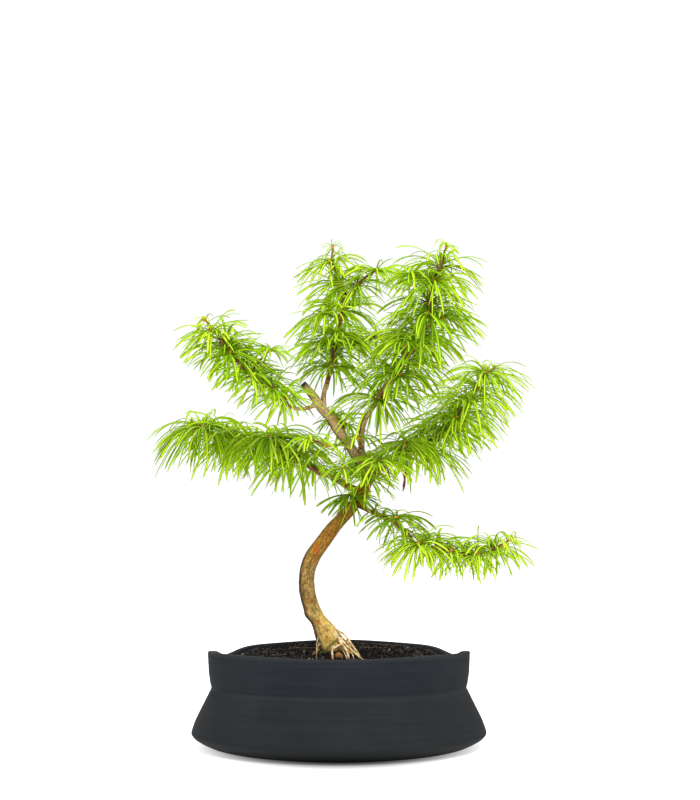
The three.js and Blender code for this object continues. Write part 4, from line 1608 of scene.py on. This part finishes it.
@dataclass(frozen=True)
class HairRoots:
    """The thin pale roots at the foot of the trunk, under one fine skin."""

    voxel: float = 0.22
    routes: tuple[Route, ...] = (
        Route(
            ((-4.5, -17.5, 60), (-4.6, -17, 65), (-4.9, -15.4, 70.2), (-2.2, -14.6, 72.4),
             (2.2, -14.2, 74), (4.9, -15, 71.1), (6.7, -16.5, 67.5), (7.5, -17.5, 60)),
            (0.75, 0.8, 0.8, 0.9, 0.95, 0.9, 0.8, 0.7),
        ),
        Route(((0, -8, 79), (1.4, -12, 76), (2.2, -14.2, 74)), (1.1, 1, 0.9)),
        Route(
            ((-7, -4, 87), (-3.7, -4.5, 86.2), (0, -6, 84), (4.5, -8, 80.7), (9, -10, 74.8),
             (12.7, -12, 69.7), (15, -13.5, 66), (16.5, -15, 60)),
            (0.7, 0.75, 0.8, 0.85, 0.8, 0.75, 0.7, 0.6),
        ),
        Route(
            ((0.5, -8, 78.5), (3, -11, 76.4), (6, -13, 73.1), (9.7, -14.5, 70),
             (14.2, -16, 66.1), (19.4, -18, 61.5)),
            (1, 0.95, 0.85, 0.8, 0.8, 0.75),
        ),
        Route(
            ((4, -10, 75.5), (8, -13.5, 70.5), (10.5, -15.5, 66), (12, -17, 60)), (0.6, 0.5, 0.4)
        ),
        Route(((-15.5, -6, 79), (-16.4, -9, 76), (-16.6, -11, 60)), (0.34, 0.32, 0.32)),
        Route(
            ((2.5, -8, 79.5), (6.5, -10, 75.8), (9, -11.5, 71), (10, -12, 66)), (0.5, 0.4, 0.35)
        ),
    )  # fmt: skip

    def build(self) -> Object:
        """Fuses a tube for each root and makes them a little knobbly.

        Returns:
            The roots as one object.
        """
        roots = fuse([tube(route, 1.2, 10) for route in self.routes], "hair_roots", self.voxel)
        push_out(roots.data, 0.2 * lumps(positions(roots.data) / MM, 1.4))
        settle(roots, Rootlet(), 180)
        return roots


@dataclass(frozen=True)
class Twig:
    """A shoot's stem with its spurs and buds, under one thin skin."""

    shoot: Shoot
    voxel: float = 0.4
    step: float = 2.5
    spur_radius: float = 1.15
    spur_rings: Pair = (1.2, 0.85)
    bud_radius: float = 1.75
    bud_edge: float = 1.2
    bud_shape: Triple = (0.95, 0.95, 1.15)
    base_depth: float = 2.5
    tip_swell: Pair = (1.35, 0.3)
    leaf_scars: Pair = (0.16, 1.1)
    knobbles: Pair = (0.2, 2.6)

    def build(self) -> Object:
        """Fuses stem, spurs and buds, and roughens the bark.

        Returns:
            The twig.
        """
        parts = [tube(self.seated(), self.step)]
        line, radii = self.shoot.stem.line(1)
        for centre in self.shoot.centres:
            foot = line[np.linalg.norm(line - centre, axis=1).argmin()]
            if np.linalg.norm(centre - foot) > 1:
                parts.append(self.spur(foot, centre))
            parts.append(ball(centre, self.bud_radius, 2, self.bud_shape))
        share, more = self.tip_swell
        parts.append(ball(line[-1], share * radii[-1] + more, 2, self.bud_shape))
        twig = fuse(parts, self.shoot.name.replace("shoot", "twig"), self.voxel, 1)
        self.roughen(twig.data)
        settle(twig, YoungBark(), 180)
        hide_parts(self.shoot.name)
        return twig

    def seated(self) -> Route:
        """Starts the stem a little inside what carries it.

        Returns:
            The stem's longer route.
        """
        stem = self.shoot.stem
        first, second = np.array(stem.points[:2], float)
        back = first - self.base_depth * unit(second - first)
        return Route((tuple(back), *stem.points), (stem.radii[0], *stem.radii))

    def spur(self, foot: Array, centre: Array) -> Object:
        """A ringed short shoot.

        Args:
            foot: where it leaves the stem.
            centre: where its whorl is.

        Returns:
            The spur.
        """
        points = tuple(tuple(foot + (centre - foot) * share) for share in np.linspace(0, 1, 9))
        thick, thin = (share * self.spur_radius for share in self.spur_rings)
        return tube(Route(points, (thick, thin) * 4 + (thick,)), 0.5)

    def roughen(self, mesh: Mesh) -> None:
        """Adds leaf-base bumps, and stores how near each point is to a bud.

        Args:
            mesh: the smooth twig.
        """
        points = positions(mesh) / MM
        centres = np.vstack([self.shoot.centres, self.shoot.stem.line(1)[0][-1:]])
        gap = np.linalg.norm(points[:, None] - centres[None], axis=2).min(axis=1)
        (scar, scar_size), (knobble, knobble_size) = self.leaf_scars, self.knobbles
        push = scar * lumps(points, scar_size) + knobble * lumps(points, knobble_size, 5)
        push_out(mesh, push)
        store(mesh, "bud", ramp(gap, self.bud_radius + self.bud_edge, self.bud_radius))


@dataclass(frozen=True)
class WhorlHabit:
    """How the needles of a whorl stand. Rises are those of its inmost and its outmost needle."""

    count: int = 43
    count_spread: Pair = (0.92, 1.08)
    outward: float = 0.75
    tone_spread: float = 0.05
    rises: Pair = (0.6, -0.02)
    rise_power: float = 0.6
    rise_spread: float = 0.05
    turn_spread: float = 0.12
    least_size: float = 0.62
    vigour_size: float = 0.36
    top_vigour: float = 1.1
    inner_shorter: float = 0.4
    inner_stiffer: float = 0.3
    size_spread: float = 0.1
    stand_off: float = 0.9


@dataclass(frozen=True)
class SpiralHabit:
    """How single needles stand along a shoot, with what they lose towards its end."""

    fewest: int = 9
    spacing: float = 2
    start: float = 0.06
    crowding: float = 0.9
    forward: Pair = (0.25, 0.1)
    upward: Pair = (0.12, 0.4)
    size: float = 0.74
    size_spread: float = 0.16
    shortened: float = 0.38
    droop: float = 0.9
    tone: float = 0.6


@dataclass(frozen=True)
class TipHabit:
    """How the last needles stand round a shoot's end."""

    count: int = 9
    forward: Pair = (0.4, 1.1)
    size: float = 0.36
    size_spread: float = 0.14
    sunk: float = 0.6
    droop: float = 1.35
    tone: float = 0.85


@dataclass(frozen=True)
class NeedleHabit:
    """How single needles differ, bend and twist. Roll is that of the root and of the rest."""

    width: float = 1.8
    bend_spread: float = 0.2
    bend_power: float = 1.25
    tone_spread: float = 0.17
    # Painted shade: this share of needles has its tint dropped this far, as if they were in shade.
    painted_shade_drop: float = 0.9
    painted_shade_share: float = 0.15
    twist_spread: float = 0.4
    sway_spread: float = 0.3
    roll: Pair = (0.3, 1.1)
    breadth_spread: float = 0.19
    breadths: Pair = (0.55, 1.35)
    broad_tint: float = 1.2
    slender_power: float = 0.4
    clear: float = 0.7


@dataclass
class Needles:
    """The needles of one shoot, each a bent copy of one blade."""

    shoot: Shoot
    blade: Pattern
    draw: np.random.Generator
    in_whorl: WhorlHabit = WhorlHabit()
    in_spiral: SpiralHabit = SpiralHabit()
    at_tip: TipHabit = TipHabit()
    habit: NeedleHabit = NeedleHabit()
    roots: list[Array] = field(default_factory=list)
    headings: list[Array] = field(default_factory=list)
    traits: list[tuple[float, ...]] = field(default_factory=list)

    @staticmethod
    def model_blade() -> Pattern:
        """Models one flat blade with a shallow groove above and a keel below.

        Returns:
            The blade, along +X from 0 to 1.
        """
        widths = (0.7, 0.9, 1.0, 1.0, 1.0, 1.0, 1.0, 0.97, 0.88, 0.4)
        stations = len(widths) - 1
        pick()
        bpy.ops.mesh.primitive_circle_add(
            vertices=4, radius=1, fill_type="NGON", rotation=(0, math.pi / 2, 0)
        )
        blade = bpy.context.object
        bpy.ops.object.transform_apply(rotation=True)
        for vertex in blade.data.vertices:
            if abs(vertex.co.z) > 0.5:
                vertex.co.z = 0.12 if vertex.co.z > 0 else -0.6
        edit(blade, "FACE")
        bpy.ops.transform.resize(value=(1, widths[0], widths[0]), center_override=(0, 0, 0))
        for i, (here, there) in enumerate(zip(widths, widths[1:]), 1):
            move = {"value": (1 / stations, 0, 0)}
            bpy.ops.mesh.extrude_region_move(TRANSFORM_OT_translate=move)
            shape, centre = (1, there / here, there / here), (i / stations, 0, 0)
            bpy.ops.transform.resize(value=shape, center_override=centre)
        bpy.ops.mesh.select_all(action="SELECT")
        bpy.ops.mesh.normals_make_consistent(inside=False)
        bpy.ops.object.mode_set(mode="OBJECT")
        return Pattern.take(blade)

    def build(self, walls: Arrays) -> Object:
        """Grows the whorls and the single needles, and drops what would cross a stem.

        Args:
            walls: points along every stem, and the stems' radii there.

        Returns:
            The needles as one object.
        """
        line = self.shoot.stem.line(1)[0]
        for centre, (*_, vigour, tone) in zip(self.shoot.centres, self.shoot.whorls):
            nearest = np.linalg.norm(line - centre, axis=1).argmin()
            self.whorl(centre, centre - line[nearest], vigour, tone)
        for place, outward, vigour, tone in self.shoot.extra:
            self.whorl(np.array(place), np.array(outward), vigour, tone)
        if self.shoot.singles:
            self.spiral(line)
            self.tip(line)
        return self.grow(walls)

    def whorl(self, centre: Array, outward: Array, vigour: float, tone: float) -> None:
        """Lists the needles of one whorl, like the ribs of a parasol.

        Args:
            centre: where they start.
            outward: from the stem to there.
            vigour: 1 for a whorl of the usual size.
            tone: 0 for deep green, 1 for yellow green.
        """
        habit, draw = self.in_whorl, self.draw
        away = habit.outward * outward / max(np.linalg.norm(outward), 1e-6)
        axis = unit(away + self.shoot.lift * UP)
        side = unit(np.cross(axis, (0.3, 0.9, 0.2)))
        over = np.cross(axis, side)
        count = round(habit.count * vigour * draw.uniform(*habit.count_spread))
        tone += draw.normal(0, habit.tone_spread)
        turn = draw.random() * 2 * math.pi
        first, last = habit.rises
        full = habit.least_size + habit.vigour_size * min(vigour, habit.top_vigour)
        for i in range(count):
            rise = first + (last - first) * ((i + 0.5) / count) ** habit.rise_power
            rise += draw.normal(0, habit.rise_spread)
            angle = turn + i * GOLDEN_ANGLE + draw.normal(0, habit.turn_spread)
            flat = math.cos(angle) * side + math.sin(angle) * over
            heading = rise * axis + math.sqrt(max(0.02, 1 - rise * rise)) * flat
            inner = max(0.0, rise)
            size = self.shoot.length * (full - habit.inner_shorter * inner**2)
            size *= self.shoot.reach * draw.normal(1, habit.size_spread)
            droop = 1 - habit.inner_stiffer * inner
            self.add(centre + habit.stand_off * heading, heading, size, droop, tone)

    def spiral(self, line: Array) -> None:
        """Lists the single needles in a spiral on the young part of the shoot.

        Args:
            line: the stem's points.
        """
        habit = self.in_spiral
        count = habit.fewest + int(len(line) / habit.spacing)
        for i in range(count):
            share = habit.start + (1 - habit.start) * ((i + 0.5) / count) ** habit.crowding
            spot = min(int(share * (len(line) - 1)), len(line) - 2)
            along, flat = self.around(line, spot, i * GOLDEN_ANGLE)
            late = (i / count) ** 3
            forward, upward = (a - loss * late for a, loss in (habit.forward, habit.upward))
            heading = flat + forward * along + upward * UP
            size = habit.size * self.shoot.length * self.draw.normal(1, habit.size_spread)
            size *= 1 - habit.shortened * late
            self.add(line[spot], heading, size, habit.droop, habit.tone)

    def tip(self, line: Array) -> None:
        """Lists the needles round the shoot's end.

        Args:
            line: the stem's points.
        """
        habit = self.at_tip
        for i in range(habit.count):
            along, flat = self.around(line, len(line) - 2, i * GOLDEN_ANGLE)
            heading = flat + self.draw.uniform(*habit.forward) * along
            size = habit.size * self.shoot.length * self.draw.normal(1, habit.size_spread)
            self.add(line[-1] - habit.sunk * along, heading, size, habit.droop, habit.tone)

    @staticmethod
    def around(line: Array, spot: int, angle: float) -> Arrays:
        """Finds directions at a spot on a stem.

        Args:
            line: the stem's points.
            spot: the point's index.
            angle: an angle round the stem.

        Returns:
            The way the stem runs, and the way outwards at the angle.
        """
        along = unit(line[spot + 1] - line[spot])
        side = unit(np.cross(along, UP))
        return along, math.cos(angle) * side + math.sin(angle) * np.cross(side, along)

    def add(
        self, root: Array, heading: Array, size: float, droop: float, tone: float
    ) -> None:
        """Lists one needle.

        Args:
            root: where it starts, in millimetres.
            heading: the way it leaves.
            size: its length in millimetres.
            droop: its share of the shoot's droop.
            tone: 0 for deep green, 1 for yellow green.
        """
        habit, draw = self.habit, self.draw
        self.roots.append(root)
        self.headings.append(unit(heading))
        bend = self.shoot.droop * droop * draw.normal(1, habit.bend_spread)
        tint = tone + draw.normal(0, habit.tone_spread)
        # Painted shade: a share of needles is made deep green as if shaded.
        tint -= habit.painted_shade_drop if draw.random() < habit.painted_shade_share else 0
        twist, sway = draw.normal(0, habit.twist_spread), draw.normal(0, habit.sway_spread)
        self.traits.append((size, bend, tint, twist, sway))

    def grow(self, walls: Arrays) -> Object:
        """Bends a copy of the blade along each needle's line.

        Args:
            walls: points along every stem, and the stems' radii there.

        Returns:
            The needles as one object.
        """
        habit, (x, y, z) = self.habit, self.blade.points.T
        roots, headings = np.array(self.roots), np.array(self.headings)
        size, bend, tint, twist, sway = np.array(self.traits).T
        stations = np.unique(np.round(x, 4))
        side = np.cross(headings, UP)
        side[np.linalg.norm(side, axis=1) < 0.05] = (1, 0, 0)
        side = unit(side)
        middles = (stations[1:] + stations[:-1]) / 2
        ways = unit(
            headings[:, None]
            - (bend[:, None] * middles**habit.bend_power)[..., None] * UP
            + (sway[:, None] * middles)[..., None] * side[:, None]
        )
        strides = ways * (np.diff(stations)[None, :, None] * size[:, None, None])
        spine = np.concatenate([np.zeros((len(roots), 1, 3)), np.cumsum(strides, axis=1)], axis=1)
        spine += roots[:, None]
        kept = self.clear_of(spine, walls)
        ways = np.concatenate([ways, ways[:, -1:]], axis=1)
        ways, spine, side, size, tint, twist = (
            rows[kept] for rows in (ways, spine, side, size, tint, twist)
        )
        over = unit(np.cross(side[:, None], ways))
        across = np.cross(ways, over)
        base, rest = habit.roll
        roll = (twist[:, None] * (base + rest * stations))[..., None]
        flat = across * np.cos(roll) + over * np.sin(roll)
        thick = over * np.cos(roll) - across * np.sin(roll)
        station = np.searchsorted(stations, np.round(x, 4))
        breadth = np.clip(self.draw.normal(1, habit.breadth_spread, len(spine)), *habit.breadths)
        half = habit.width / 2 * breadth * (size / self.shoot.length) ** habit.slender_power
        places = (
            spine[:, station]
            - flat[:, station] * (half[:, None] * y)[..., None]
            + thick[:, station] * (half[:, None] * z)[..., None]
        )
        needles = self.blade.copies(self.shoot.name.replace("shoot", "needles"), places * MM)
        store(needles.data, "along", np.tile(x, len(spine)))
        store(needles.data, "across", np.tile((np.abs(y) > 0.001).astype(float), len(spine)))
        store(needles.data, "tint", np.repeat(tint + habit.broad_tint * (breadth - 1), len(x)))
        settle(needles, Needle(), 28)
        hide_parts(self.shoot.name)
        return needles

    def clear_of(self, spine: Array, walls: Arrays) -> Array:
        """Finds the needles that keep clear of every stem once they have left their own.

        Args:
            spine: needles x stations x 3, in millimetres.
            walls: points along every stem, and the stems' radii there.

        Returns:
            True for each needle that is clear.
        """
        points, radii = walls
        gap = np.linalg.norm(spine[:, 3:, None] - points[None, None], axis=3) - radii
        return gap.min(axis=(1, 2)) > self.habit.clear


@dataclass(frozen=True)
class Litter:
    """Dead needles on the old wood and on the soil.

    A hanging one is its root, its way and its length. A fallen one is its x and y, the way it
    points in degrees, and its length.
    """

    bed: SoilBed
    blade: Pattern
    hanging: tuple[tuple[Triple, Triple, float], ...] = (
        ((36, -4, 207), (0.14, -0.2, -1), 14), ((38.4, -7, 195), (-0.3, -0.1, -1), 8.5),
        ((47.6, -2, 206), (0.03, -0.2, -1), 18), ((50.2, -2, 206), (-0.14, -0.2, -1), 15),
        ((35, 3, 207), (0.35, -0.2, -1), 12),
    )  # fmt: skip
    fallen: tuple[tuple[float, float, float, float], ...] = (
        (28, 79, 172, 26), (40, 76, 160, 22), (49, 68, 150, 24), (-52, 22, 40, 25),
        (-30, -38, 150, 23), (58, -12, 75, 21), (12, 52, 10, 27), (-64, -8, 115, 22),
        (22, -46, 35, 20), (-15, 48, 160, 24), (66, 20, 130, 20), (-40, 50, 60, 22),
    )  # fmt: skip
    lifted: float = 1.15
    breadths: Pair = (0.8, 0.5)
    curl_spread: float = 0.09

    def build(self, draw: np.random.Generator) -> Object:
        """Bends a copy of the blade for each dead needle.

        Args:
            draw: the seeded random draws.

        Returns:
            The dead needles as one object.
        """
        roots, ways, sizes = (np.array(part, float) for part in zip(*self.hanging))
        x, y, turns, lengths = np.array(self.fallen, float).T
        turns = np.radians(turns)
        floor = self.bed.height(x, y) + self.lifted
        roots = np.vstack([roots, np.column_stack([x, y, floor])])
        ways = np.vstack([ways, np.column_stack([np.cos(turns), np.sin(turns), 0 * turns])])
        ages = np.repeat((0, 1), (len(sizes), len(lengths)))
        sizes = np.append(sizes, lengths)
        breadth = np.choose(ages, self.breadths)[:, None]
        ways = unit(ways)
        side = unit(np.cross(ways, (0.02, 0.05, 1)))
        over = np.cross(side, ways)
        x, y, z = self.blade.points.T
        bow = (draw.normal(0, self.curl_spread, len(sizes)) * sizes)[:, None] * (4 * x * (1 - x))
        places = (
            roots[:, None]
            + ways[:, None] * (sizes[:, None] * x)[..., None]
            + side[:, None] * (bow - breadth * y)[..., None]
            + over[:, None] * (breadth * z)[..., None]
        )
        litter = self.blade.copies("dead_needles", places * MM)
        store(litter.data, "age", np.repeat(ages, len(x)))
        settle(litter, DryNeedle(), 28)
        return litter


@dataclass(frozen=True)
class MossTufts:
    """Short moss on the root collar and the soil beside it.

    A cushion is its centre, its reach and how many leaves it has.
    """

    cushions: tuple[tuple[Triple, float, int], ...] = (
        ((-12, -8, 67.5), 2.4, 34), ((8, 12, 67), 4, 50), ((-9, 17, 67), 4, 50),
    )  # fmt: skip
    flattened: Triple = (1, 1, 0.35)
    upright: float = 0.6
    sizes: Pair = (0.8, 1.7)

    def build(self, draw: np.random.Generator) -> Object:
        """Copies a small pointed leaf over each cushion.

        Args:
            draw: the seeded random draws.

        Returns:
            The moss as one object.
        """
        leaf = self.leaf()
        roots, ways = [], []
        for centre, reach, count in self.cushions:
            for _ in range(count):
                way = unit(draw.standard_normal(3))
                way[2] = abs(way[2])
                roots.append(centre + way * reach * self.flattened * draw.random() ** 0.4)
                ways.append(way + self.upright * UP)
        roots, ways = np.array(roots), unit(np.array(ways))
        side = unit(np.cross(ways, draw.standard_normal(ways.shape)))
        over = np.cross(side, ways)
        size = draw.uniform(*self.sizes, len(ways))[:, None, None]
        x, y, z = leaf.points.T
        places = roots[:, None] + size * (
            ways[:, None] * z[:, None] + side[:, None] * x[:, None] - over[:, None] * y[:, None]
        )
        moss = leaf.copies("moss", places * MM)
        store(moss.data, "along", np.tile(z, len(ways)))
        settle(moss, Moss(), 40)
        return moss

    @staticmethod
    def leaf() -> Pattern:
        """Models one fat pointed leaf.

        Returns:
            The leaf, along +Z from 0 to 1.
        """
        pick()
        bpy.ops.mesh.primitive_cone_add(
            vertices=4, radius1=0.17, radius2=0.02, depth=1, location=(0, 0, 0.5)
        )
        leaf = bpy.context.object
        bpy.ops.object.transform_apply(location=True)
        edit(leaf)
        bpy.ops.mesh.subdivide(number_cuts=1)
        bpy.ops.mesh.select_all(action="SELECT")
        bpy.ops.mesh.quads_convert_to_tris()
        bpy.ops.object.mode_set(mode="OBJECT")
        for vertex in leaf.data.vertices:
            fatter = 1 + 0.5 * (1 - abs(2 * vertex.co.z - 1))
            vertex.co.x *= fatter
            vertex.co.y *= fatter
        return Pattern.take(leaf)


@dataclass(frozen=True)
class Studio:
    """White floor, white surroundings, soft lights, and the photograph's camera.

    A light is its name, its place, its size and its power. Lights and floor are in metres.
    """

    camera_place: Triple = (8.2, -1050, 139.3)
    pitch_up: float = 6.48
    lens: float = 61.97
    sensor: float = 36
    clip: Pair = (0.05, 100)
    surroundings: float = 0.8
    backdrop: float = 1.05
    floor_size: float = 40
    lights: tuple[tuple[str, Triple, float, float], ...] = (
        ("key", (0.3, -0.9, 1.45), 0.5, 22),
        ("fill", (-1.2, -0.9, 0.7), 1.1, 4),
        ("back", (-0.25, 1.1, 1.1), 0.7, 10),
    )
    aim: Triple = (0, 0, 0.22)

    def build(self) -> None:
        """Sets up floor, world, lights and camera."""
        self.floor()
        self.world()
        for name, place, size, power in self.lights:
            self.light(name, place, size, power)
        self.camera()
        view = bpy.context.scene.view_settings
        view.view_transform, view.look = "Standard", "None"

    def floor(self) -> None:
        """Lays the pale floor that the pot stands on."""
        pick()
        bpy.ops.mesh.primitive_plane_add(size=self.floor_size)
        floor = bpy.context.object
        floor.name = "studio_floor"
        floor.data.materials.append(Backdrop().material())

    def world(self) -> None:
        """Lights the tree evenly from all round, behind a plain white backdrop."""
        world = bpy.data.worlds.new("studio")
        bpy.context.scene.world = world
        world.use_nodes = True
        world.node_tree.nodes.clear()
        graph = Graph(world.node_tree)
        soft, white = (
            graph.node("ShaderNodeBackground", {}, {"Color": (1, 1, 1, 1), "Strength": strength})
            for strength in (self.surroundings, self.backdrop)
        )
        seen = graph.node("ShaderNodeLightPath", output="Is Camera Ray")
        mixed = graph.node("ShaderNodeMixShader", {}, {0: seen, 1: soft, 2: white})
        graph.end("ShaderNodeOutputWorld", mixed)

    def light(self, name: str, place: Triple, size: float, power: float) -> None:
        """Hangs one large soft lamp, aimed at the tree.

        Args:
            name: the lamp's name.
            place: where it hangs, in metres.
            size: how wide it is, in metres.
            power: how strong it is, in watts.
        """
        data = bpy.data.lights.new(name, "AREA")
        data.shape, data.size, data.energy = "DISK", size, power
        lamp = bpy.data.objects.new(name, data)
        lamp.location = place
        towards = Vector(self.aim) - Vector(place)
        lamp.rotation_euler = towards.to_track_quat("-Z", "Y").to_euler()
        bpy.context.scene.collection.objects.link(lamp)

    def camera(self) -> None:
        """Puts the camera at the photograph's place and tilt."""
        data = bpy.data.cameras.new("camera")
        data.lens, data.sensor_width = self.lens, self.sensor
        data.clip_start, data.clip_end = self.clip
        camera = bpy.data.objects.new("camera", data)
        camera.location = Vector(self.camera_place) * MM
        camera.rotation_euler = (math.radians(90 + self.pitch_up), 0, 0)
        bpy.context.scene.collection.objects.link(camera)
        bpy.context.scene.camera = camera


def dress_drain_meshes() -> None:
    """Gives the part's own drain meshes their finish."""
    for name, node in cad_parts.items():
        if name.startswith("drain_mesh"):
            node.data.materials.clear()
            node.data.materials.append(MeshPlastic().material())


def stem_walls(wood: Wood, shoots: Iterable[Shoot]) -> Arrays:
    """Gathers what needles keep clear of.

    Args:
        wood: the trunk, limbs and roots.
        shoots: the leafy shoots.

    Returns:
        Points along every stem, and the stems' radii there.
    """
    lines = [*wood.lines(), *(shoot.stem.line(wood.line_step) for shoot in shoots)]
    return np.vstack([line for line, _ in lines]), np.concatenate([radii for _, radii in lines])


def report(piece: Object) -> None:
    """Logs a finished piece's size."""
    log.info("%s: %d faces", piece.name, len(piece.data.polygons))


def main() -> None:
    """Builds the pieces in order, reports each one's size, and sets up the studio."""
    logging.basicConfig(level=logging.INFO, format="%(message)s")
    draw = np.random.default_rng(SEED)
    wood, bed, blade = Wood(), SoilBed(), Needles.model_blade()
    report(Pot().build())
    report(bed.build())
    report(bed.strew(draw))
    report(wood.build())
    report(HairRoots().build())
    walls = stem_walls(wood, SHOOTS)
    for shoot in SHOOTS:
        report(Twig(shoot).build())
        report(Needles(shoot, blade, draw).build(walls))
    report(Litter(bed, blade).build(draw))
    report(MossTufts().build(draw))
    dress_drain_meshes()
    Studio().build()


if __name__ == "__main__":
    main()
